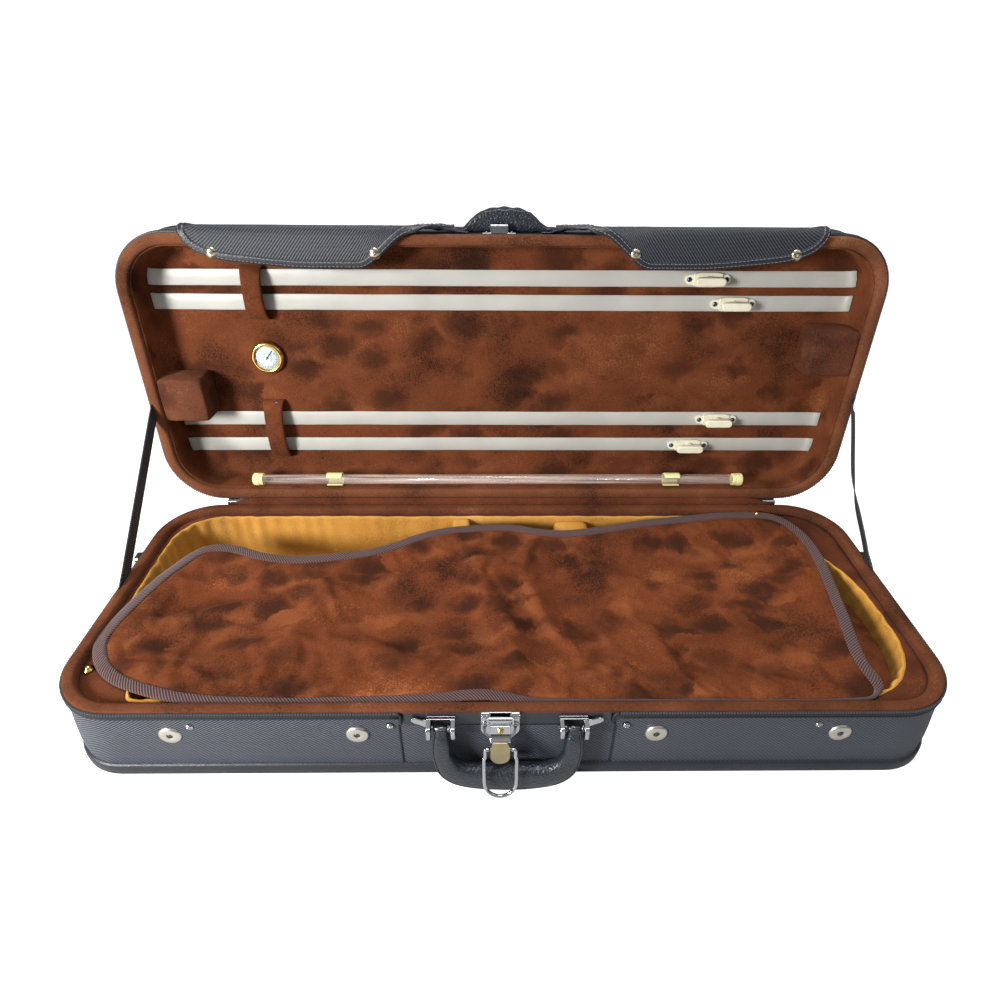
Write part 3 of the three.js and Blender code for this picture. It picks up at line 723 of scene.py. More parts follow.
def make_zip(name, z, up, body, lid, node):
    """A zip tape with its coil teeth next to the rim; up is +1 where the rim is above it."""
    tape = [(0.5, z - up * 7.2), (2, z - up * 6.8), (2.3, z - up * 1.2), (1.2, z), (0.6, z + up * 0.4)]
    Shape().grid([zip_span(o, h) for o, h in tape]).piece(
        f"{name}_zip_tape_cloth", "zip", body, lid, thick=0.3, replaces=[node])
    teeth = Shape()
    line = resample(zip_span(1.3, z - up * 0.6), 2.4, closed=False)
    for before, here, after in zip(line, line[1:], line[2:]):
        turn = Matrix.Rotation(math.atan2(after.y - before.y, after.x - before.x), 3, "Z")
        teeth.box(here - Vector((0.75, 1.0, 0.9)), here + Vector((0.75, 1.0, 0.9)), turn)
    teeth.piece(f"{name}_zip_teeth", "teeth", body, lid, flat=True)
    seam = [Vector((p.x, p.y, z - up * 5.2)) for p in zip_span(2.25, z)]
    Shape().tube(resample(seam, 9, closed=False), 0.45, 6).piece(f"{name}_zip_seam", "thread", body, lid)


# ---------------------------------------------------------------- base: padding and linings
def make_padding():
    """Velvet border between the rim and the cavity, crowned, with a seam along the rim."""
    inner = [Vector(p) for p in cavity_ring(6)]
    outer = [bordering(p) for p in inner]
    rows = []
    crown = ((0, -1.5), (0.04, -0.6), (0.12, 0.5), (0.3, 1.1),
             (0.6, 1.2), (0.85, 1), (0.96, 0.4), (1, -0.6))
    for t, z in crown:
        row = []
        for a, b in zip(outer, inner):
            p = a.lerp(b, t)
            row.append(Vector((p.x, p.y, PAD_TOP + z + 0.35 * ripple(p.x, p.y, 0, 30, 4))))
        rows.append(row)
    rows.append([Vector((p.x, p.y, PAD_TOP - 8)) for p in inner])
    Shape().grid(rows, wrap_cols=True).piece(
        "padding_velvet", "velvet pad", "base", replaces=["base_padding"])


def bordering(point):
    """The point of the rim's inner edge that faces a point of the cavity's edge."""
    spine = Vector((min(max(point.x, -320), 300), 0))
    ring = outline(-RIM_IN + 0.4)
    along = (point - spine).normalized()
    reach = 10
    while inside(spine + along * (reach + 1), ring):
        reach += 1
    low, high = reach, reach + 1
    for _ in range(12):
        middle = (low + high) / 2
        low, high = (middle, high) if inside(spine + along * middle, ring) else (low, middle)
    return spine + along * low


# Offset, height against the padding and depth of pleat of the gold lining, going down the wall.
CAVITY_WALL = [
    (1.6, 0.6, 0.2), (0.4, 1.5, 0.3), (-0.8, 1.9, 0.5), (-1.9, 1.2, 0.8), (-2.2, -1.5, 1), (-2.0, -8, 1),
    (-1.6, -18, 0.9), (-1.4, -30, 0.7), (-1.6, -42, 0.6), (-2.4, -52, 0.4), (-5, -57, 0.2),
]


def make_cavity():
    """The gold velvet lining: a gathered top edge, pleats down the wall, and the floor pad."""
    ring = cavity_ring(5)
    normals = outward(ring)
    reach = travel(ring)
    rows = []
    for offset, drop, pleat in CAVITY_WALL:
        row = []
        for p, normal, s in zip(ring, normals, reach):
            gathers = pleats(p, s) * pleat
            stitch = 0.35 * math.sin(2 * math.pi * s / 6) if drop > 0 else 0
            q = p + normal * (offset + gathers)
            row.append(Vector((q.x, q.y, PAD_TOP + drop + stitch + 0.8 * ripple(s, 0, 0, 60, 5))))
        rows.append(row)
    Shape().grid(rows, wrap_cols=True).piece(
        "cavity_velvet", "gold", "base", rounds=1, replaces=["cavity_lining"])
    floor = Shape()
    within = [p - normal * 4 for p, normal in zip(ring, normals)]
    floor.sheet(within, lambda x, y: FLOOR_TOP + 1.2 * ripple(x, y, 0, 90, 6), 18)
    floor.piece("cavity_floor_pad", "gold", "base", replaces=["cavity_floor"])


def pleats(p, s):
    """Folds of the gathered lining, deepest at the ends of the cavity."""
    bend = max(smooth(-170, -320, p.x), smooth(250, 330, p.x))
    folds = math.sin(s / 2.7 + 2.4 * ripple(s, 0, 0, 50, 7)) + 0.6 * ripple(s, 3, 0, 11, 8)
    return mix(0.5, 2.9, bend) * folds * (0.6 + 0.6 * ripple(s, 9, 0, 40, 9))


def cushion(name, low, high, look, body, node, lid=False, crown=0.06, cuts=5):
    """A small stuffed block with crowned faces and rounded corners."""
    low, high = Vector(low), Vector(high)
    block = bmesh.new()
    bmesh.ops.create_cube(block, size=1)
    bmesh.ops.subdivide_edges(block, edges=block.edges, cuts=cuts, use_grid_fill=True)
    shape = Shape()
    for vertex in block.verts:
        unit = vertex.co * 2
        puffed = Vector(unit)
        for axis in range(3):
            a, b = (unit[k] for k in range(3) if k != axis)
            puffed[axis] = unit[axis] * (1 - crown * (abs(a) ** 4 + abs(b) ** 4))
        point = Vector([mix(low[k], high[k], (puffed[k] + 1) / 2) for k in range(3)])
        grain = ripple(*point, 14, 11) * 0.5
        shape.points.append(point + Vector((grain, grain, 0)))
    for face in block.faces:
        shape.add_face([v.index for v in face.verts])
    block.free()
    piece = shape.piece(name, look, body, lid, rounds=1, replaces=[node] if node else [])
    return piece


def make_supports():
    """The violin's two rests; the neck's is low in front and high at the back wall."""
    low, high = extent("neck_support")
    cushion("neck_rest", low, (high.x, high.y, high.z - 13), "gold", "base", "neck_support")
    cushion("neck_rest_back", (low.x, high.y - 24, low.z + 36), high, "gold", "base", None)
    low, high = extent("body_bolster")
    cushion("body_rest", low, high, "gold", "base", "body_bolster")


# ---------------------------------------------------------------- dust blanket
BLANKET = [
    (-374, -72), (-374, -45), (-366, -10), (-350, 30), (-330, 64), (-300, 64), (-262, 50), (-210, 47),
    (-140, 60), (-85, 90), (-30, 103), (10, 104), (40, 94), (85, 93), (160, 110), (240, 124),
    (305, 128), (330, 116), (343, 75), (338, 15), (329, -40), (321, -95), (322, -130), (280, -136.5),
    (100, -136.5), (30, -135), (-20, -126), (-75, -131), (-160, -134), (-240, -133), (-300, -124),
    (-350, -104),
]
BLANKET_Z = PAD_TOP + 2.6
RIDGES = [  # folds that stand up where the blanket crosses the supports below it
    ((-345, -50), (-290, -20), (-230, -2), (-120, 22), (-40, 34), (20, 60), 13, 12),
    ((-40, 95), (-30, 50), (-20, 0), (5, -45), (10, -110), 14, 15),
    ((30, 92), (22, 40), (34, -10), (60, -60), 9, 10),
    ((-300, -95), (-220, -60), (-150, -62), (-70, -90), 9, 11),
    ((-335, 20), (-300, 8), (-255, 22), (-200, 34), 7, 11),
    ((60, -110), (140, -70), (230, -55), (310, -100), 7, 15),
    ((80, 80), (110, 40), (180, 10), (260, 40), 7, 15),
    ((-200, 30), (-180, -10), (-205, -45), 8, 10),
]


def sunken(x, y, ring):
    """Height of the bed the blanket settles on: it dips into the cavity and has ridges."""
    depth = 15 * smooth(0, 62, clearance((x, y), ring)) if inside((x, y), ring) else 0
    lift = 0
    for *path, rise, width in RIDGES:
        near = min(
            (Vector((x, y)) - mix_point(a, b, (x, y))).length for a, b in zip(path, path[1:])
        )
        lift += rise * math.exp(-((near / width) ** 2)) * (1 + 0.35 * ripple(x, y, 0, 30, 21))
    edge = smooth(6, 40, clearance((x, y), BLANKET_RING))
    return BLANKET_Z - 2 + (lift - depth + 2.2 * ripple(x, y, 0, 26, 24)) * edge


def mix_point(a, b, point):
    """The point of a line nearest to another point, in plan."""
    a, b, p = Vector(a), Vector(b), Vector(point)
    t = min(max((p - a).dot(b - a) / (b - a).length_squared, 0), 1)
    return a + (b - a) * t


BLANKET_RING = curve(BLANKET, 5, closed=True)


def make_blanket():
    """A velvet dust cover: cut oversize, pinned round its edge, and settled by simulation."""
    sag_ring = cavity_ring(14)
    cover = Shape()
    cover.sheet(BLANKET_RING, lambda x, y: BLANKET_Z + 1.2 + 1.5 * ripple(x, y, 0, 45, 22), 7)
    count = len(resample(BLANKET_RING, 7))
    cloth = cover.piece("dust_blanket", "blanket", None)
    bed = Shape()
    bed.sheet(BLANKET_RING, lambda x, y: sunken(x, y, sag_ring), 8)
    mould = bed.piece("blanket_bed", "blanket", None)
    settle(cloth, mould, count)
    bpy.data.objects.remove(mould)
    surface = BVHTree.FromObject(cloth, bpy.context.evaluated_depsgraph_get())
    braid = make_braid(surface)
    lining = cloth.modifiers.new("thickness", "SOLIDIFY")
    lining.thickness, lining.offset = 1.6 * MM, -1
    cloth.modifiers.new("rounding", "SUBSURF").levels = 1
    cloth.modifiers["rounding"].render_levels = 1
    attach(cloth, "base")
    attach(braid, "base")
    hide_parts("blanket")


SETTLING = 40  # frames of cloth simulation
CLOTH = {
    "quality": 6, "mass": 0.25, "tension_stiffness": 8, "compression_stiffness": 8,
    "shear_stiffness": 4, "bending_stiffness": 0.08, "shrink_min": -0.03,
    "vertex_group_mass": "pinned",
}


def settle(cloth, mould, pinned):
    """Runs the cloth over its bed and keeps the result in the mesh."""
    group = cloth.vertex_groups.new(name="pinned")
    group.add(list(range(pinned)), 1.0, "REPLACE")
    mould.modifiers.new("bed", "COLLISION")
    mould.collision.thickness_outer = 1.2 * MM
    mould.collision.cloth_friction = 12
    solver = cloth.modifiers.new("cloth", "CLOTH")
    for setting, value in CLOTH.items():
        setattr(solver.settings, setting, value)
    solver.collision_settings.distance_min = 1.0 * MM
    solver.point_cache.frame_end = SETTLING
    for step in range(1, SETTLING + 1):
        bpy.context.scene.frame_set(step)
    shape = cloth.evaluated_get(bpy.context.evaluated_depsgraph_get())
    points = [Vector(v.co) for v in shape.data.vertices]
    cloth.modifiers.remove(solver)
    for vertex, point in zip(cloth.data.vertices, points):
        vertex.co = point
    bpy.context.scene.frame_set(1)


# Inset and height above the blanket of the braid, from under its edge to over it.
BRAID = ((2.5, -1.9), (-0.6, -1.6), (-1.4, -0.2), (-0.6, 1.0), (2, 1.6), (6, 1.7), (9.6, 1.5),
         (10.6, 0.4))


def make_braid(surface):
    """The woven edging: a band folded over the blanket's edge, following the cloth below it."""
    ring = resample(BLANKET_RING, 7)
    normals = outward([Vector(p) for p in ring])
    rows = []
    for inset, lift in BRAID:
        row = []
        for p, n in zip(ring, normals):
            tucked = smooth(0, 50, p.x) * smooth(-120, -132, p.y)
            q = p - n * inset * mix(1, 0.3, tucked)
            hit = surface.ray_cast(Vector((q.x, q.y, 200)) * MM, Vector((0, 0, -1)))[0]
            rim = surface.find_nearest(Vector((p.x, p.y, BLANKET_Z)) * MM)[0]
            z = (hit or rim).z / MM
            row.append(Vector((q.x, q.y, z + lift + 0.25 * ripple(q.x, q.y, 0, 18, 23))))
        rows.append(row)
    return Shape().grid(rows, wrap_cols=True).piece("blanket_braid", "braid", None, rounds=1)


# ---------------------------------------------------------------- lid: shell and lining
def make_lid_shell():
    rows = twill_wall(LID_Z + 2.2, LID_TOP - 9, CORNER, CORNER, 7)
    for drop, offset in ((6, 0.2), (3.5, -0.6), (1.6, -2.2), (0.5, -5), (0.2, -9)):
        rows.append(loop(offset, LID_TOP - drop))
    shell = Shape().grid(rows, wrap_cols=True)
    shell.close()
    shell.piece("lid_twill", "twill", "lid", True, replaces=["lid_wall", "lid_top"])
    piping = ((0.6, 10), (1.5, 8.8), (0.9, 7.4), (-0.3, 6.9))
    sweep([(offset, LID_TOP - drop) for offset, drop in piping]).piece("lid_piping", "trim", "lid", True)
    rim = sweep([(offset, LID_Z + depth) for offset, depth in RIM])
    rim.piece("lid_rim_velvet", "rim", "lid", True, rounds=1, replaces=["lid_rim"])
    rim_crease_shade("lid", LID_Z + 5.6, "lid", True)


# Offset and depth behind the rim: a seam, the walls, a coved corner and the back panel.
LINING = [
    (-10.9, 5), (-11.6, 4.4), (-12.3, 5.6), (-12.6, 12), (-12.9, 20), (-13.4, 28), (-15.2, 34),
    (-19, 38), (-25, 39.8), (-34, 40), (-60, 40.2), (-90, 40.3), (-120, 40.3), (-138, 40.3),
]


def make_lid_lining():
    rows = []
    for offset, depth in LINING:
        row = []
        for p in outline(offset, max(CORNER, 12 - offset)):
            slack = 0.5 * ripple(p.x, p.y, depth, 45, 31) * smooth(8, 30, depth)
            row.append(Vector((p.x, p.y, LID_Z + depth + slack)))
        rows.append(row)
    lining = Shape().grid(rows, wrap_cols=True)
    lining.close()
    lining.piece("lid_lining_velvet", "velvet", "lid", True, replaces=["lid_lining"])


# ---------------------------------------------------------------- lid: bow fittings
def make_ribbons():
    """Satin ribbons that run along the lid and a little way up the walls at its ends."""
    top = LID_Z + 39.1
    flat = [(mix(-340, 340, k / 80), top) for k in range(81)]
    for index in range(1, 5):
        low, high = shut_extent(f"bow_ribbon_{index}")
        rows = []
        for t in (0, 0.04, 0.5, 0.96, 1):
            y = mix(low.y, high.y, t)
            climb = [(wall_x(offset - 0.9, y), LID_Z + depth - 0.9) for offset, depth in LINING[6:10]]
            path = [(-x, z) for x, z in climb] + flat + climb[::-1]
            curl = 0.4 if t in (0, 1) else 0
            row = []
            for x, z in path:
                lean = 0.35 * ripple(x, low.y, 0, 70, index) - 0.33 * (top - z)
                sag = 0.35 + 0.35 * ripple(x, y, 0, 26, 40 + index)
                row.append(Vector((x, y + lean, z - sag + curl)))
            rows.append(row)
        Shape().grid(rows).piece(
            f"ribbon_{index}", "satin", "lid", True, thick=0.5, replaces=[f"bow_ribbon_{index}"])


def wall_x(offset, y):
    """Where the case's plan, moved by an offset, crosses a line of constant y on its right."""
    past = max(abs(y) - (HALF_Y - CORNER), 0)
    return HALF_X - CORNER + math.sqrt((CORNER + offset) ** 2 - past * past)


def shut_extent(node):
    """Extent of a lid node as it lies with the lid shut: the inverse of opened()."""
    points = []
    cos, sin = math.cos(OPEN), math.sin(OPEN)
    for vertex in frame["nodes"][node].data.vertices:
        x, y, z = vertex.co / MM
        dy, dz = y - HINGE_Y, z - HINGE_Z
        points.append((x, HINGE_Y + dy * cos - dz * sin, HINGE_Z + dy * sin + dz * cos))
    low = Vector([min(p[k] for p in points) for k in range(3)])
    high = Vector([max(p[k] for p in points) for k in range(3)])
    return low, high


def make_tip_straps():
    """Stuffed velvet loops, sewn down at both ends, that hold the bow tips."""
    for node in ("tip_strap_upper", "tip_strap_lower"):
        low, high = shut_extent(node)
        middle, half = (low.y + high.y) / 2, (high.y - low.y) / 2
        rows = []
        for k in range(25):
            angle = math.pi * k / 24
            rise = (LID_FLOOR - low.z) * math.sin(angle) ** 0.7
            y = middle - half * math.cos(angle)
            puff = 2.4 * math.sin(angle) ** 0.5 + 0.3 * ripple(0, y, 0, 9, 51)
            waist = 1 - 0.08 * math.sin(angle) + 0.1 * math.cos(angle) ** 8
            row = []
            for j in range(16):
                turn = 2 * math.pi * j / 16
                x = (low.x + high.x) / 2 + (high.x - low.x) * 0.58 * waist * cushion_cos(turn)
                row.append(Vector((x, y, LID_FLOOR - rise + 2.0 - (1.2 + puff) * math.sin(turn))))
            rows.append(row)
        strap = Shape().grid(rows, wrap_cols=True, caps=True).piece(
            f"{node}_velvet", "velvet", "lid", True, rounds=1, replaces=[node])
    button = Shape()
    button.lathe([(0, -3.2), (1.6, -3), (2.6, -2), (2.8, -0.4), (2.4, 0)], (-266, 41, LID_FLOOR - 5))
    button.piece("tip_strap_button", "chrome", "lid", True)


def cushion_cos(turn):
    return math.copysign(abs(math.cos(turn)) ** 0.55, math.cos(turn))


def stadium(x, y, reach, radius):
    """A bar's outline with half-round ends, whose centres are at reach either side of x."""
    return [
        (x + end * reach + radius * math.cos(a), y + radius * math.sin(a))
        for end, start in ((1, -90), (-1, 90)) for a in [math.radians(start + 20 * k) for k in range(10)]
    ]


def make_clips():
    """Moulded clips: a plate with round ends, two blued screws, and a bar that swivels."""
    for index in range(1, 5):
        low, high = shut_extent(f"bow_spinner_{index}")
        x, y, face = (low.x + high.x) / 2, (low.y + high.y) / 2, LID_FLOOR - 1.6
        plate = Shape()
        plate.prism(stadium(x, y, 19.5, 5.2), "z", face - 2.6, face)
        saddle = [(x - 15, y - 6), (x - 9, y - 7.5), (x + 9, y - 7.5), (x + 15, y - 6),
                  (x + 15, y + 6), (x + 9, y + 7.5), (x - 9, y + 7.5), (x - 15, y + 6)]
        plate.prism(saddle, "z", face - 4.2, face)
        plate.lathe([(4.6, 0), (4.3, 6), (4.3, face - high.z - 4.4)], (x, y, high.z + 0.4))
        plate.piece(f"clip_plate_{index}", "ivory", "lid", True, bevel=0.7,
                    replaces=[f"bow_clip_{index}"])
        bar = Shape()
        bar.prism(stadium(x, y, 11.5, 4.6), "z", low.z + 0.3, high.z)
        bar.piece(f"spinner_bar_{index}", "ivory", f"spinner_{index}", True, bevel=1.6,
                  replaces=[f"bow_spinner_{index}"])
        for side, name in SIDES:
            at = x + side * 20
            screw = Shape().lathe([(0, -1.4), (1.5, -1.3), (2.5, -0.7), (2.7, 0)], (at, y, face - 2.4))
            screw.box((at - 2, y - 0.3, face - 4.0), (at + 2, y + 0.3, face - 3.3))
            screw.piece(f"clip_screw_{index}_{name}", "screw", "lid", True)


def make_blocks():
    for side in ("left", "right"):
        low, high = shut_extent(f"bow_block_{side}")
        low, high = low - Vector((2.5, 2.5, 3)), high + Vector((2.5, 2.5, 0))
        cushion(f"bow_block_{side}_velvet", low, high, "block", "lid", f"bow_block_{side}",
                lid=True, crown=0.02, cuts=9)


def make_hygrometer():
    low, high = shut_extent("hygrometer")
    x, y, back = (low.x + high.x) / 2, (low.y + high.y) / 2, high.z
    rim = [(13.4, -3.4), (13.8, -5.6), (15.2, -6.2), (16.6, -5.8), (18.2, -4.2), (18.7, -2.2), (18.5, 0)]
    bezel = Shape().lathe(rim, (x, y, back), steps=48)
    bezel.piece("hygrometer_bezel", "brass", "lid", True, replaces=["hygrometer"])
    face = back - 3.6
    Shape().lathe([(0, -0.4), (13.6, -0.4), (13.8, 0)], (x, y, face), steps=48).piece(
        "hygrometer_dial", "dial", "lid", True)
    marks = Shape()
    for k in range(25):
        angle = math.radians(-30 + 10 * k)
        long = 3.2 if k % 4 == 0 else 1.7
        turn = Matrix.Rotation(angle, 3, "Z")
        spot = Vector((x, y, face - 0.55)) + turn @ Vector((11.8 - long / 2, 0, 0))
        marks.box(spot - Vector((long / 2, 0.2, 0.1)), spot + Vector((long / 2, 0.2, 0.1)), turn)
    for radius in (5.2, 12.6):
        ring = [Vector((x + radius * math.cos(a), y + radius * math.sin(a), face - 0.55))
                for a in [2 * math.pi * k / 48 for k in range(49)]]
        marks.tube(ring, 0.14, 4)
    needle = Matrix.Rotation(math.radians(-52), 3, "Z")
    tip = Vector((x, y, face - 0.9)) + needle @ Vector((4.2, 0, 0))
    marks.box(tip - Vector((6.6, 0.4, 0.15)), tip + Vector((6.6, 0.4, 0.15)), needle)
    marks.lathe([(0, -1.3), (1.1, -1.2), (1.2, -0.4)], (x, y, face))
    marks.piece("hygrometer_marks", "ink", "lid", True, flat=True)


# ---------------------------------------------------------------- string tube
def make_string_tube():
    low, high = shut_extent("string_tube")
    cap_low, cap_high = shut_extent("tube_cap")
    y, z = (cap_low.y + cap_high.y) / 2, (cap_low.z + cap_high.z) / 2
    outside, bore, left, right = 6.2, 5.2, low.x + 6, high.x - 2
    section = [(outside, left), (outside, right), (bore, right), (bore, left), (outside, left)]
    wall = Shape().lathe(section, (0, y, z), "x", 32)
    wall.piece("tube_glass", "clear", "string_tube", True, replaces=["string_tube"])
    plug = Shape()
    fluted_cap(plug, low.x, low.x + 12.5, y, z, -1)
    plug.piece("tube_end_cap", "wax", "string_tube", True, bevel=0.3)
    cap = Shape()
    fluted_cap(cap, cap_low.x, cap_high.x + 0.5, y, z, 1)
    cap.piece("tube_right_cap", "wax", "tube_cap", True, bevel=0.3, replaces=["tube_cap"])
    for side in ("left", "right"):
        clip_low, clip_high = shut_extent(f"tube_clip_{side}")
        clip = Shape()
        turns = [math.radians(-140 + 280 * k / 22) for k in range(23)]
        inner = [(y + 6.6 * math.sin(a), z + 6.6 * math.cos(a)) for a in turns]
        outer = [(y + 8.0 * math.sin(a), z + 8.0 * math.cos(a)) for a in reversed(turns)]
        clip.prism(inner + outer, "x", clip_low.x + 0.6, clip_high.x - 0.6)
        clip.piece(f"tube_clip_{side}_jaws", "wax", "lid", True, bevel=0.4,
                   replaces=[f"tube_clip_{side}"])


def fluted_cap(shape, x0, x1, y, z, end):
    """A cap with a grooved rim, closed at its outer end."""
    rows = []
    steps = 40
    for t, radius in ((0, 6.4), (0.02, 7.2), (0.3, 7.4), (0.36, 6.9), (0.42, 7.4), (0.9, 7.3), (1, 6.2)):
        x = mix(x0, x1, t) if end > 0 else mix(x1, x0, t)
        flute = 0.22 if 0.4 < t < 0.95 else 0
        row = []
        for a in [2 * math.pi * k / steps for k in range(steps)]:
            reach = radius + flute * math.cos(20 * a)
            row.append(Vector((x, y + reach * math.cos(a), z + reach * math.sin(a))))
        rows.append(row)
    shape.grid(rows, wrap_cols=True, caps=True)


# ---------------------------------------------------------------- lid: grip, keeper and flaps
FRONT = HALF_Y + 0.3  # the plane, at -FRONT, that the front hardware is screwed to
FLAP_START, FLAP_END, FLAP_DROP = 88, 318, 38.5


def make_lid_grip():
    """A crumpled leather grip that arches off the lid's front wall, sewn down at both ends."""
    low, high = shut_extent("lid_grip")
    arch = curve([
        (-52, 0.6), (-47, 1.2), (-41, 4), (-33, 12), (-20, 19.6), (0, 22), (19, 19.8), (31, 12.8),
        (40, 5), (47, 3.6), (54, 2.4), (60, 0.8),
    ], 6)
    reach = travel([Vector((*p, 0)) for p in arch])
    rows = []
    for p, s in zip(arch, reach):
        row = []
        for k in range(20):
            turn = 2 * math.pi * k / 20
            across = cushion_cos(turn) * ((high.z - low.z) / 2 + 2.5)
            crease = 0.9 * ripple(s, across, 0, 7, 61) + 0.5 * math.sin(s / 2.3 + across / 6)
            rise = p.y - (p.y - 3) * smooth(0.15, -0.6, math.sin(turn)) if p.y > 3 else p.y
            out = FRONT + rise - 1 + 1.4 * math.sin(turn) + crease * smooth(0, 6, rise)
            row.append(Vector((p.x, -max(out, FRONT), (low.z + high.z) / 2 + across)))
        rows.append(row)
    Shape().grid(rows, wrap_cols=True, caps=True).piece(
        "lid_grip_leather", "hide", "lid", True, rounds=1, replaces=["lid_grip"])


def make_keeper():
    low, high = shut_extent("latch_keeper")
    middle = (low.x + high.x) / 2
    plate = Shape()
    plate.box((low.x, -FRONT - 1.6, low.z), (low.x + 9, -FRONT, high.z))
    plate.box((high.x - 9, -FRONT - 1.6, low.z), (high.x, -FRONT, high.z))
    plate.box((low.x + 7, -FRONT - 1.8, low.z + 2.6), (high.x - 7, -FRONT, high.z + 1))
    hook = [(-FRONT - 0.6, 1.4), (-157.6, 1.2), (-159.2, 2.4), (-159.2, 7.6),
            (-157.2, 7.6), (-156.8, 3.8), (-FRONT - 0.6, 4.2)]
    plate.prism([(y, low.z + rise) for y, rise in hook], "x", middle - 8.8, middle + 8.8)
    plate.piece("keeper_plate", "chrome", "lid", True, bevel=0.45, replaces=["latch_keeper"])
    rivets = Shape()
    for side in (-1, 1):
        spot = (middle + side * 12.4, -FRONT - 1.5, low.z + 5)
        rivets.lathe([(0, -1.3), (1.4, -1), (1.9, 0)], spot, "y", 16)
    rivets.piece("keeper_rivets", "dark steel", "lid", True)


def flap_drop(x):
    """How far the flap hangs below its fold at a distance from the middle."""
    if x < 146:
        return -5 + (5 - FLAP_DROP) * smooth(91, 146, x) if x > FLAP_START else -5
    slope = 1 - 0.2 * smooth(190, 300, x)
    end = max((x - 262) / (FLAP_END - 262), 0)
    return -FLAP_DROP * slope * math.sqrt(max(1 - end ** 2.6, 0.0))


FLAP_LINE = [  # from the lid's front wall, over the fold and down, in (y, z) with the lid open
    (206, 391.6), (197, 393.2), (187, 396.2), (178.5, 398.5), (173.4, 398.3), (170.6, 395.4),
    (169.6, 390), (169.0, 380), (168.8, 370), (169.6, 362), (171.2, 354),
]
FLAP_FOLD = 4  # index of the point on the fold
FLAP_REACH = travel([Vector((0, *p)) for p in FLAP_LINE])


def flap_point(side, x, t, lift=0.0):
    """A point of the flap, t millimetres below the fold, standing lift proud of the cloth."""
    target = min(max(FLAP_REACH[FLAP_FOLD] + t, 0), FLAP_REACH[-1])
    k = max(j for j in range(len(FLAP_LINE) - 1) if FLAP_REACH[j] <= target)
    a, b = Vector(FLAP_LINE[k]), Vector(FLAP_LINE[k + 1])
    f = (target - FLAP_REACH[k]) / (FLAP_REACH[k + 1] - FLAP_REACH[k])
    p, along = a.lerp(b, f), (b - a).normalized()
    wave = 0.7 * ripple(side * x, t, 0, 42, 71) * smooth(-6, 14, t)
    pinch = 1.4 * ripple(side * x, t, 0, 9, 72) * smooth(112, 92, x)
    normal = Vector((along.y, -along.x))
    q = p + normal * (wave + pinch + lift)
    return Vector((side * x, q.x, q.y))


# Inset and lift of the binding, from behind the flap, round its edge and over its face.
BINDING = ((-0.9, -0.9), (-1.0, 0.9), (0.2, 1.9), (3, 2.1), (6.2, 1.9), (7.0, 1.0), (6.8, 0.4))


def make_flaps():
    """Twill rain flaps, blended from the lid's front wall to the part that hangs and swings."""
    columns = [mix(FLAP_START, 250, k / 26) for k in range(26)]
    columns += [250 + (FLAP_END - 250) * math.sin(math.pi / 2 * k / 16) for k in range(17)]
    edge = [(FLAP_START - 38, -9), (FLAP_START - 20, -5.5), (FLAP_START - 6, 0)]
    edge += [(x, -flap_drop(x)) for x in columns]
    edge += [(FLAP_END, -8), (FLAP_END, -18), (FLAP_END, -28)]
    line = resample([Vector(p) for p in edge], 4, closed=False)
    for side, name in SIDES:
        rows = []
        for k in range(17):
            rows.append([
                flap_point(side, x, mix(-30, max(-flap_drop(x), 0.2), k / 16)) for x in columns
            ])
        sheet = Shape().grid(rows).piece(f"rain_flap_{name}_cloth", "flap twill", None, thick=1.6,
                                         replaces=[f"rain_flap_{name}", f"flap_root_{name}"])
        join_flap(sheet)
        band = [[flap_edge(side, line, k, *step) for k in range(len(line))] for step in BINDING]
        binding = Shape().grid(band)
        join_flap(binding.piece(f"flap_binding_{name}", "trim", None, rounds=1))
        stitches = Shape()
        for start in range(len(line) - 1):
            for inset in (1.4, 5.4):
                a = flap_edge(side, line, start, inset, 2.1)
                b = flap_edge(side, line, start + 1, inset, 2.1)
                stitches.tube([a.lerp(b, f) for f in (0.1, 0.5, 0.8)], 0.32, 5)
        join_flap(stitches.piece(f"flap_stitches_{name}", "pale thread", None))
        make_flap_root(side, name)
        make_flap_studs(side, name)


def flap_edge(side, line, k, inset, lift):
    """A point beside the flap's edge line, inset towards the cloth."""
    before, after = line[max(k - 1, 0)], line[min(k + 1, len(line) - 1)]
    along = (after - before).normalized()
    p = line[k] + Vector((along.y, -along.x)) * inset
    return flap_point(side, p.x, p.y, lift)


def join_flap(piece):
    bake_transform(piece)


def make_flap_root(side, name):
    """The crumpled strip, stitched along its edge, that runs from the flap to the lid's grip."""
    rows = []
    for j in range(9):
        row = []
        for k in range(40):
            x = mix(36, FLAP_START + 8, k / 39)
            t = mix(-27, -9 + 9 * smooth(FLAP_START - 26, FLAP_START + 6, x), j / 8)
            p = flap_point(side, x, t, -0.4 - 3.0 * smooth(FLAP_START, 40, x))
            crumple = 1.1 * ripple(side * x, t, 0, 7, 74)
            row.append(p + Vector((0, 0, crumple - 1.8 * smooth(60, 36, x))))
        rows.append(row)
    Shape().grid(rows).piece(f"flap_strip_{name}", "trim", "lid", thick=1.4, rounds=1)


def make_flap_studs(side, name):
    dome = [(0, -2.5), (2.6, -2.3), (4.4, -1.6), (5.6, -0.6), (5.9, 0.6)]
    for index, x in enumerate((129, 289), 1):
        stud = Shape().lathe(dome, flap_point(side, x, 24.5, 0.8), "y", 28)
        stud.piece(f"flap_stud_{name}_{index}", "nickel", f"flap_{name}")


# ---------------------------------------------------------------- front hardware
def swung(pivot, tilt, point):
    """A point drawn hanging from a pivot, turned out from the wall by a tilt."""
    x, y, z = point
    cos, sin = math.cos(-tilt), math.sin(-tilt)
    return Vector((pivot[0] + x, pivot[1] + y * cos - z * sin, pivot[2] + y * sin + z * cos))


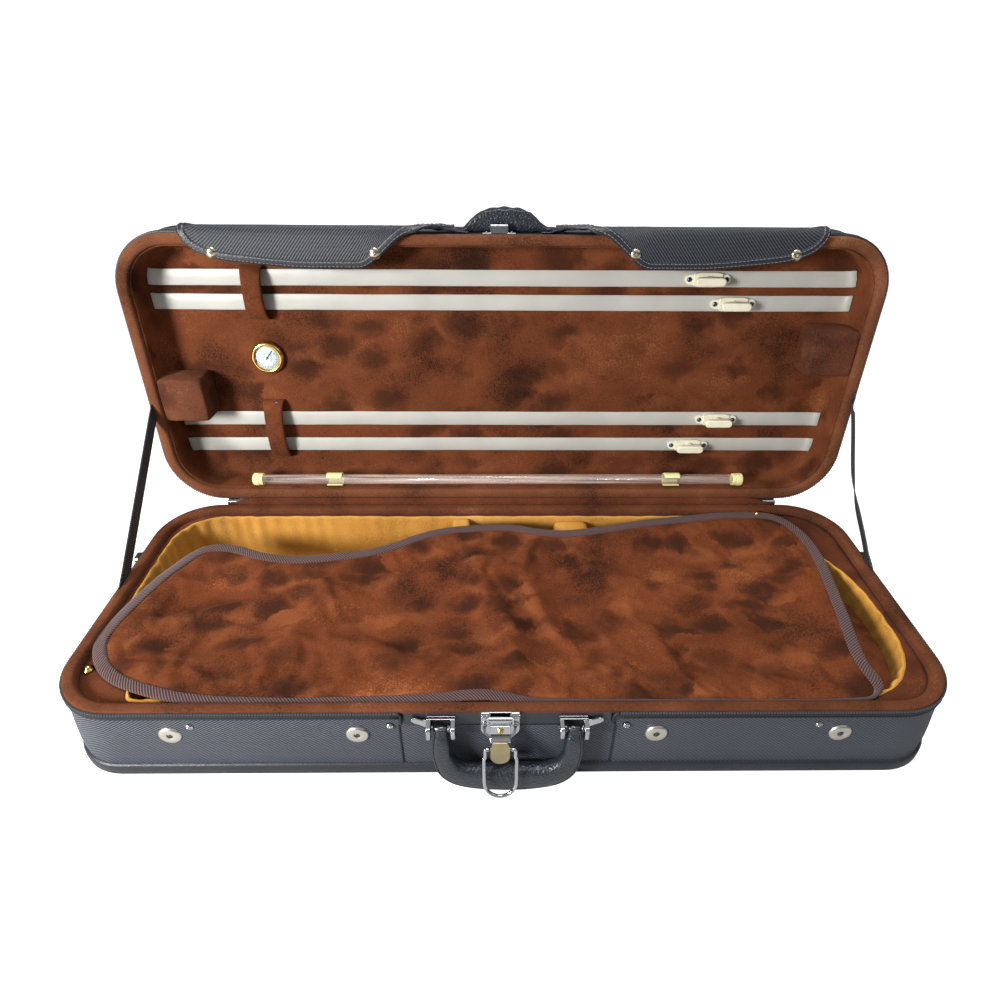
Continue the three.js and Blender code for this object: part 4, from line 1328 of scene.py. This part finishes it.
HANDLE_PIN = (0, -160, 75)
HANDLE_X = 56
HANDLE_TILT = math.radians(4)
LOOP_EARS = (-6, -165.5, 53.5)
LOOP_TILT = math.atan2(15.5, 43)


# The left half of the grip's outer and inner edge, in x and z from the pin, down to the middle.
GRIP_OUTER = [(-61, 1), (-62, -6), (-63.8, -18), (-63.6, -32), (-60, -51), (-48, -65), (-28, -72),
              (0, -74.4)]
GRIP_INNER = [(-51, 1), (-50, -6), (-48, -18), (-47.4, -30), (-43, -40), (-36, -45.4), (-24, -47.2),
              (0, -47.4)]


def mirrored(half):
    """A line that ends on the middle, continued by its own mirror image."""
    return half + [(-x, z) for x, z in half[-2::-1]]


def make_handle():
    """The leather grip: a stuffed D with narrow ends, and a welt round its outer edge."""
    outer, inner = curve(mirrored(GRIP_OUTER), 5), curve(mirrored(GRIP_INNER), 5)
    rows, welt = [], []
    for a, b in zip(outer, inner):
        a, b = Vector(a), Vector(b)
        middle, half = (a + b) / 2, (a - b) / 2
        depth = mix(3.0, 6.8, smooth(2, -14, middle.y)) + 1.2 * smooth(-35, -58, middle.y)
        depth += 0.15 * ripple(a.x, a.y, 0, 12, 81)
        row = []
        for k in range(20):
            turn = 2 * math.pi * k / 20
            side = cushion_cos(turn)
            p = middle + half * side
            row.append(swung(HANDLE_PIN, HANDLE_TILT, (p.x, -depth * math.sin(turn), p.y)))
        rows.append(row)
        edge = middle + half * 0.86
        welt.append(swung(HANDLE_PIN, HANDLE_TILT, (edge.x, -depth * 0.62, edge.y)))
    Shape().grid(rows, wrap_cols=True, caps=True).piece(
        "handle_leather", "hide", "handle", rounds=1, replaces=["handle_grip"])
    Shape().tube(welt[2:-2], 1.1, 8).piece("handle_welt", "hide", "handle")
    stitches = Shape()
    for a, b in zip(welt[3:-3], welt[4:-3]):
        spot = [a + (b - a) * f + Vector((0, -0.9, 1.6)) for f in (0.1, 0.5, 0.85)]
        stitches.tube(spot, 0.3, 5)
    stitches.piece("handle_stitches", "thread", "handle")


# The side of a bracket's leg in y and z, and its tab in x and z from the bracket's middle.
LEG = [(-FRONT - 1, 79), (-163.6, 79), (-165.2, 77.6), (-165.2, 67), (-163.8, 64.6), (-161.6, 64),
       (-159.8, 65), (-158.6, 67), (-156.4, 69), (-FRONT - 1, 70)]
TAB = [(11, 68), (14, 68), (18, 70.6), (23, 73), (25.6, 75.8), (25, 79), (22, 79.6), (17, 77.4),
       (11, 76.4)]
LEG_END = [(0, -2.3), (2.2, -2.2), (2.6, -1.4), (2.6, 1.4), (2.2, 2.2), (0, 2.3)]


def make_brackets():
    """Chrome brackets for the handle's ends: two legs, the pin between them, and a tab."""
    for side, name in SIDES:
        x = side * HANDLE_X
        bracket = Shape()
        bracket.box((x - 12.2, -FRONT - 1.8, 63), (x + 12.2, -FRONT, 80))
        for leg in (x - 10.25, x + 10.25):
            bracket.prism(LEG, "x", leg - 1.9, leg + 1.9)
            bracket.lathe(LEG_END, (leg, -162.4, 67), "x", 16)
        bracket.box((x - 12.1, -FRONT - 4.4, 77.8), (x + 12.1, -FRONT - 1, 79.8))
        bracket.piece(f"bracket_{name}_frame", "chrome", "base", bevel=0.5,
                      replaces=[f"handle_bracket_{name}"])
        pin = Shape().lathe([(2, -8.6), (2, 8.6)], (x, *HANDLE_PIN[1:]), "x", 16)
        washer = [(0, -1.6), (3.1, -1.5), (3.3, 0), (3.1, 1.5), (0, 1.6)]
        for end in (x - 7.2, x + 7.2):
            pin.lathe(washer, (end, *HANDLE_PIN[1:]), "x", 18)
        pin.piece(f"bracket_{name}_pin", "dark steel", "base")
        # Painted shade: a dark plate between the legs stands for the shaded opening behind the handle's
        # end.
        shade_plate = Shape().box((x - 9, -FRONT - 2.4, 65), (x + 9, -FRONT - 1.7, 78))
        shade_plate.piece(f"bracket_{name}_inside", "zip", "base", bevel=0.2)
        tab = Shape()
        tab.prism([(x + side * across, z) for across, z in TAB], "y", -FRONT - 3.4, -FRONT - 1.2)
        tab.piece(f"bracket_{name}_tab", "chrome", "base", bevel=0.7)


# Half the latch's plate, tongue and wire in x and z, and the lever's side in y and z.
PLATE_HALF = [(-16.4, 85), (-16.8, 62), (-15.6, 58), (-10.4, 50.6), (-8.6, 48.6)]
TONGUE_HALF = [(-6.4, 64), (-8.2, 57), (-8.5, 47)]
WIRE_HALF = [(-9.6, 0), (-12.4, 0), (-13, -2.4), (-13, -7.6), (-13.9, -9.6), (-13.9, -20), (-13.7, -32)]
LEVER = [(-154.2, 82.6), (-157.6, 83), (-158.6, 80), (-158.4, 77.6), (-159.8, 77), (-160.6, 70),
         (-163, 66), (-165.6, 64.4), (-165.6, 62.4), (-160, 61.6), (-154, 64)]
SCREW_HEAD = [(0, -1.5), (2.2, -1.4), (3.1, -0.7), (3.3, 0.2)]
RIVET_DOME = [(0, -2.4), (1.3, -2.2), (2.3, -1.4), (2.9, 0), (3.4, 0.3), (3.4, 1.2)]


def bridged(half, bottom=()):
    """Half an outline, what lies below it, and its mirror image."""
    return half + list(bottom) + [(-x, z) for x, z in reversed(half)]


def half_turn(radius_x, radius_z, z, step):
    """Points of the lower half of an ellipse, without its two ends."""
    turns = [math.radians(180 + step * k) for k in range(1, 180 // step)]
    return [(radius_x * math.cos(a), z + radius_z * math.sin(a)) for a in turns]


def make_latch_plate(x):
    plate = Shape()
    plate.prism([(x + across, z) for across, z in bridged(PLATE_HALF)], "y", -FRONT - 1.6, -FRONT)
    for side in (-1, 1):
        plate.box((x + side * 10.6 - 0.9, -158.4, 76.4), (x + side * 10.6 + 0.9, -FRONT - 1, 84.8))
        plate.lathe([(0, -2.4), (1.7, -2.2), (2, -1), (2, 3)], (x + side * 13.6, -153.6, 82.6), "x", 16)
    plate.lathe([(2.4, -11), (2.4, 11)], (x, -156, 81.4), "x", 16)
    plate.lathe([(1.9, -16), (1.9, -9.2)], (x, -152.6, 84), "x", 16)
    plate.lathe([(1.9, 9.2), (1.9, 16)], (x, -152.6, 84), "x", 16)
    plate.piece("latch_plate_chrome", "chrome", "base", bevel=0.45, replaces=["latch_plate"])
    for side, name in SIDES:
        at = x + side * 12.9
        screw = Shape().lathe(SCREW_HEAD, (at, -FRONT - 1.5, 70.5), "y", 22)
        screw.piece(f"latch_screw_{name}", "chrome", "base")
        # Painted shade: a dark bar across the screw head stands for its shaded slot.
        slot = Shape().box((at - 2.2, -FRONT - 3.2, 70.1), (at + 2.2, -FRONT - 2.9, 70.9))
        slot.piece(f"latch_slot_shade_{name}", "dark steel", "base")


def make_latch_lever(x):
    lever = Shape()
    lever.prism(LEVER, "x", x - 8.8, x + 8.8)
    lever.lathe([(1.7, -9.1), (1.7, 9.1)], (x, -164.6, 53.6), "x", 18)
    lever.piece("lever_housing", "chrome", "latch_lever", bevel=0.6, replaces=["latch_lever"])
    lip = Shape().box((x - 8.4, -160.8, 76.2), (x + 8.4, -158.8, 78))
    lip.piece("lever_lip", "chrome", "latch_lever", bevel=0.6)
    dome = Shape().lathe(RIVET_DOME, (x, -160.6, 72), "y", 24)
    dome.piece("lever_rivet", "brass", "latch_lever")
    tongue = bridged(TONGUE_HALF, half_turn(8.5, 9.6, 45, 12))
    blade = Shape()
    blade.prism([(x + across, z) for across, z in tongue], "y", -167.3, -165.5)
    blade.piece("lever_tongue", "champagne", "latch_lever", bevel=0.55)


def make_latch_wire():
    ring = [(x, 0, z) for x, z in bridged(WIRE_HALF, half_turn(13.6, 13.6, -32.5, 18))]
    path = [swung(LOOP_EARS, LOOP_TILT, p) for p in curve(ring, 4)]
    Shape().tube(path, 1.65, 12).piece("latch_wire", "chrome", "latch_loop", replaces=["latch_loop"])


def make_latch():
    low, high = extent("latch_plate")
    middle = (low.x + high.x) / 2
    make_latch_plate(middle)
    make_latch_lever(middle)
    make_latch_wire()


DISC = [(2.6, -2.4), (3.2, -3.1), (4.4, -3.3), (8.2, -3.1), (9.4, -2.4), (10, -1), (10, 1.4)]


def make_snaps_and_screws():
    for index in range(1, 5):
        low, high = extent(f"snap_disc_{index}")
        spot = ((low.x + high.x) / 2, -FRONT, (low.z + high.z) / 2)
        disc = Shape().lathe(DISC, spot, "y", 40)
        disc.piece(f"snap_{index}_disc", "disc", "base", replaces=[f"snap_disc_{index}"])
        eye = Shape().lathe([(0, -1.2), (1.2, -1.6), (2.7, -1.8), (2.8, -2.6)], spot, "y", 20)
        eye.piece(f"snap_{index}_eye", "dark steel", "base")
    for index, x in enumerate((-270, -100, 102, 268)):
        spot = Vector((x, -FRONT - 0.9, 66.5))
        screw = Shape().lathe([(0, -1.6), (1.6, -1.5), (3, -0.9), (3.6, 0.4)], spot, "y", 20)
        for angle in (20, 110):
            turn = Matrix.Rotation(math.radians(angle + 17 * index), 3, "Y")
            middle = spot + Vector((0, -1.7, 0))
            screw.box(middle - Vector((2, 0.15, 0.3)), middle + Vector((2, 0.15, 0.3)), turn)
        screw.piece(f"wall_screw_{index + 1}", "chrome", "base")


def make_front_panel():
    """Leatherette between the ends of the zips, and the seams either side of the handle."""
    for name, body, lid, z, up in (("base", "base", False, BASE_H, 1), ("lid", "lid", True, LID_Z, -1)):
        rows = []
        for depth, out in ((0.6, 0.25), (2, 0.28), (10, 0.28), (17, 0.28), (19.6, 0.2)):
            row = []
            for k in range(61):
                x = mix(-ZIP_END + 1, ZIP_END - 1, k / 60)
                corner = 6 * smooth(84, 91, abs(x)) if depth > 10 else 0
                row.append(Vector((x, -HALF_Y - out, z - up * (depth - corner))))
            rows.append(row)
        Shape().grid(rows).piece(f"{name}_front_strip", "trim", body, lid, thick=0.3)
    for side, name in SIDES:
        x = side * (ZIP_END + 1.5)
        lap = Shape()
        edge = [(x, BASE_H - 9), (x - side * 2, BASE_H - 17), (x, BASE_H - 22), (x, FOOT_TOP)]
        line = curve(edge, 10)
        lap.tube([Vector((p[0], -HALF_Y - 0.5, p[1])) for p in line], 0.9, 8)
        lap.piece(f"wall_seam_{name}", "zip", "base")
        turned_in = ((4, 0), (1, 0.6), (-0.6, 3), (-0.8, 7), (-0.8, 10))
        stop = Shape()
        stop.tube([
            Vector((side * (ZIP_END + t), -HALF_Y - 1.4, BASE_H - 2.8 - drop)) for t, drop in turned_in
        ], 1.5, 8)
        stop.piece(f"zip_end_{name}", "zip", "base")


# ---------------------------------------------------------------- hinges, stays and small parts
def make_hinges():
    for node in ("base_left", "base_right", "lid_left", "lid_right"):
        leaf = frame["nodes"][f"hinge_leaf_{node}"]
        leaf.data.materials.clear()
        leaf.data.materials.append(LOOKS["chrome"].material)
        edge = leaf.modifiers.new("edge", "BEVEL")
        edge.width, edge.segments, edge.limit_method = 0.25 * MM, 1, "ANGLE"


# From the base's rim to the lid's: y, and height over the base's rim.
HINGE_ARC = [(149.2, -0.6), (149.8, 1.6), (150.8, 3.6), (152.2, 5.2), (153.8, 6.2), (155.4, 6.6)]
HINGE_END = 334  # the hinge cloth reaches this far to each side


def make_hinge_cloth():
    """Velvet that bridges the rims along the hinge side, tucked in at both ends."""
    rows = []
    for y, rise in HINGE_ARC:
        row = []
        for k in range(91):
            x = mix(-HINGE_END, HINGE_END, k / 90)
            full = smooth(HINGE_END, 300, abs(x))
            z = BASE_H + rise * full + 0.25 * ripple(x, y, 0, 16, 91)
            row.append(Vector((x, mix(151.4, y, full), z)))
        rows.append(row)
    # It takes the darker padding velvet: painted shade in the gap between the rims.
    cloth = Shape().grid(rows).piece("hinge_cloth", "velvet pad", None, thick=0.8)
    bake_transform(cloth)


STAY_STEPS = 48
STAY_HALF = {"left": 7.6, "right": 7}  # half the webbing's width


def make_stays():
    """Webbing stays; the right one has a twist that shows its ribbed face lower down."""
    for side, name in SIDES:
        node = f"lid_stay_{name}"
        points = [v.co / MM for v in frame["nodes"][node].data.vertices]
        foot = [p for p in points if p.z < BASE_H + 1]
        head = [p for p in points if p.z > BASE_H + 40]
        bottom = (min(foot, key=lambda p: p.y), max(foot, key=lambda p: p.y))
        top = (max(head, key=lambda p: p.z), min(head, key=lambda p: p.z))
        start, end = (bottom[0] + bottom[1]) / 2, (top[0] + top[1]) / 2
        along = (end - start).normalized()
        rows = []
        for k in range(STAY_STEPS + 1):
            t = k / STAY_STEPS
            a, b = bottom[0].lerp(top[0], t), bottom[1].lerp(top[1], t)
            centre, half = (a + b) / 2, (b - a) / 2
            centre.x = side * (abs(points[0].x) + abs(points[-1].x)) / 2
            half.x = 0
            flat = (half - along * half.dot(along)).normalized() * STAY_HALF[name]
            if side > 0:
                slack = 4 * math.sin(math.pi * t) * (1 - 0.35 * math.cos(2 * math.pi * t))
                centre -= Vector((slack, 0, slack))
                twist = mix(-15, -41, smooth(0.3, 0.6, t)) * smooth(0, 0.07, t) * smooth(1, 0.94, t)
                flat = Matrix.Rotation(math.radians(twist), 3, along) @ flat
            across = half.lerp(flat, min(smooth(0, 0.05, t), smooth(1, 0.95, t)))
            rows.append([centre + across * mix(-1, 1, j / 6) for j in range(7)])
        stay = Shape().grid(list(map(list, zip(*rows)))).piece(
            f"stay_{name}_webbing", "webbing", None, thick=1.3, replaces=[node])
        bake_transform(stay)


def make_zip_pulls():
    """A slider where each zip ends, and the tag that hangs from it."""
    for side, name in SIDES:
        low, high = extent(f"zip_pull_{name}")
        inner = high.x if side < 0 else low.x
        slider = Shape()
        body = [(low.y, 80), (low.y + 2, 77.6), (high.y - 3, 77.4), (high.y, 79.5),
                (high.y, 82.5), (high.y - 3, 84.6), (low.y + 2, 84.4), (low.y, 82)]
        slider.prism(body, "x", *sorted((inner, inner + side * 4.6)))
        slider.piece(f"zip_slider_{name}", "dark steel", f"zip_pull_{name}", bevel=0.6,
                     replaces=[f"zip_pull_{name}"])
        tag = Shape()
        y, x = (low.y + high.y) / 2, inner + side * 2.8
        edge = [(-2, 79.5), (2, 79.5), (2.4, 74), (4, 69), (3.6, 60), (0, 58), (-3.6, 60), (-4, 69),
                (-2.4, 74)]
        tag.prism([(y + across, z) for across, z in edge], "x", x - 0.8, x + 0.8)
        tag.piece(f"zip_tag_{name}", "dark steel", f"zip_pull_{name}", bevel=0.4)


def make_small_parts():
    """Studs at two corners of the blanket, and a leather tab at the end of the case."""
    button = [(4.6, 0), (4.9, 0.8), (4.2, 1.8), (2.6, 2.4), (2.4, 3.6), (1.6, 4.4), (0, 4.6)]
    for name, x, y, z in (("right", 306, 134, PAD_TOP + 3), ("left", -376, -100, PAD_TOP + 1.6)):
        Shape().lathe(button, (x, y, z), "z", 24).piece(f"blanket_stud_{name}", "brass", "base")
    spots = [p for p in outline(1.6) if p.x < -HALF_X + 6 and -118 < p.y < -92]
    rows = [[Vector((p.x - 0.3, p.y, z)) for p in spots] for z in (76, 74, 66, 58, 50, 47)]
    Shape().grid(rows).piece("end_tab", "hide", "base", thick=1.4, rounds=1)


def make_end_pad():
    """The brown velvet pad at the right end of the cavity, below the gold lining."""
    ring = [(300, -128), (338, -124), (362, -96), (371, -50), (366, 6), (350, 50), (332, 70),
            (318, 60), (312, 0), (304, -70)]
    edge = 57  # height of the pad at its rim
    pad = Shape()
    line = curve(ring, 6, closed=True)
    pad.sheet(line, lambda x, y: edge + 5 * smooth(0, 16, clearance((x, y), line)), 7)
    skirt = [[Vector((p[0], p[1], z)) for p in resample(line, 7)] for z in (edge, FLOOR_TOP)]
    pad.grid(skirt, wrap_cols=True)
    pad.piece("end_pad", "velvet", "base")


# ---------------------------------------------------------------- camera, light and floor
CAMERA_AT = Vector((-0.0131, -0.4977, 0.5417))
CAMERA_TURNS = (("Z", -0.86), ("X", 90 - 34.756), ("Z", 0.5))  # pan, tilt and roll, in degrees
LENS = 23.42
SENSOR = 36


def make_camera():
    data = bpy.data.cameras.new("camera")
    data.lens, data.sensor_width = LENS, SENSOR
    data.clip_start = 0.01
    camera = bpy.data.objects.new("camera", data)
    turn = Matrix.Translation(CAMERA_AT)
    for axis, degrees in CAMERA_TURNS:
        turn = turn @ Matrix.Rotation(math.radians(degrees), 4, axis)
    camera.matrix_world = turn
    bpy.context.scene.collection.objects.link(camera)
    bpy.context.scene.camera = camera


def area_light(name, place, aim, size, power, colour=(1, 1, 1)):
    data = bpy.data.lights.new(name, "AREA")
    data.shape, data.size, data.energy, data.color = "DISK", size, power, colour
    light = bpy.data.objects.new(name, data)
    light.location = place
    light.rotation_euler = (Vector(aim) - Vector(place)).to_track_quat("-Z", "Y").to_euler()
    bpy.context.scene.collection.objects.link(light)


def make_studio():
    """A white surround that is darker low down, so that metal shows its shape."""
    scene = bpy.context.scene
    scene.view_settings.view_transform = "Standard"
    scene.world = bpy.data.worlds.new("studio")
    scene.world.use_nodes = True
    nodes, links = scene.world.node_tree.nodes, scene.world.node_tree.links
    split = nodes.new("ShaderNodeSeparateXYZ")
    links.new(nodes.new("ShaderNodeTexCoord").outputs["Generated"], split.inputs[0])
    shade = nodes.new("ShaderNodeMapRange")
    links.new(split.outputs["Z"], shade.inputs["Value"])
    for socket, value in zip(shade.inputs[1:5], (0.0, 0.8, 0.03, 0.52)):
        socket.default_value = value
    seen = nodes.new("ShaderNodeMix")
    links.new(nodes.new("ShaderNodeLightPath").outputs["Is Camera Ray"], seen.inputs[0])
    links.new(shade.outputs[0], seen.inputs[2])
    seen.inputs[3].default_value = 1.25
    links.new(seen.outputs[0], nodes["Background"].inputs["Strength"])
    nodes["Background"].inputs["Color"].default_value = (1, 1, 1, 1)
    area_light("key", (-1.0, -0.85, 0.6), (-0.15, -0.05, 0.1), 0.4, 33, (1, 0.985, 0.96))
    area_light("fill", (1.3, -0.3, 1.5), (0, 0.1, 0.15), 1.2, 2.5, (0.96, 0.98, 1))
    area_light("top", (0.0, 0.2, 1.9), (0, 0.1, 0.1), 1.0, 24)
    floor = bpy.data.meshes.new("floor")
    floor.from_pydata([(-60, -60, 0), (60, -60, 0), (60, 60, 0), (-60, 60, 0)], [], [(0, 1, 2, 3)])
    ground = bpy.data.objects.new("floor", floor)
    scene.collection.objects.link(ground)
    floor.materials.append(pale_floor())


def pale_floor():
    """A floor that the camera sees as white and that takes the case's shadow."""
    pale = bpy.data.materials.new("pale floor")
    pale.use_nodes = True
    nodes, links = pale.node_tree.nodes, pale.node_tree.links
    shader = nodes["Principled BSDF"]
    shader.inputs["Base Color"].default_value = (0.5, 0.5, 0.5, 1)
    shader.inputs["Roughness"].default_value = 0.9
    shader.inputs["Emission Color"].default_value = (1, 1, 1, 1)
    strength = nodes.new("ShaderNodeMath")
    strength.operation = "MULTIPLY"
    strength.inputs[1].default_value = 0.9
    links.new(nodes.new("ShaderNodeLightPath").outputs["Is Camera Ray"], strength.inputs[0])
    links.new(strength.outputs[0], shader.inputs["Emission Strength"])
    return pale


# ---------------------------------------------------------------- assembly
make_camera()
make_studio()
make_base_outside()
make_zip("base", BASE_H - 2.4, 1, "base", False, "base_zip_tape")
make_zip("lid", LID_Z + 2.4, -1, "lid", True, "lid_zip_tape")
make_front_panel()
make_padding()
make_cavity()
make_supports()
make_end_pad()
make_blanket()
make_lid_shell()
make_lid_lining()
make_ribbons()
make_tip_straps()
make_clips()
make_blocks()
make_hygrometer()
make_string_tube()
make_lid_grip()
make_keeper()
make_flaps()
make_handle()
make_brackets()
make_latch()
make_snaps_and_screws()
make_hinges()
make_hinge_cloth()
make_stays()
make_zip_pulls()
make_small_parts()
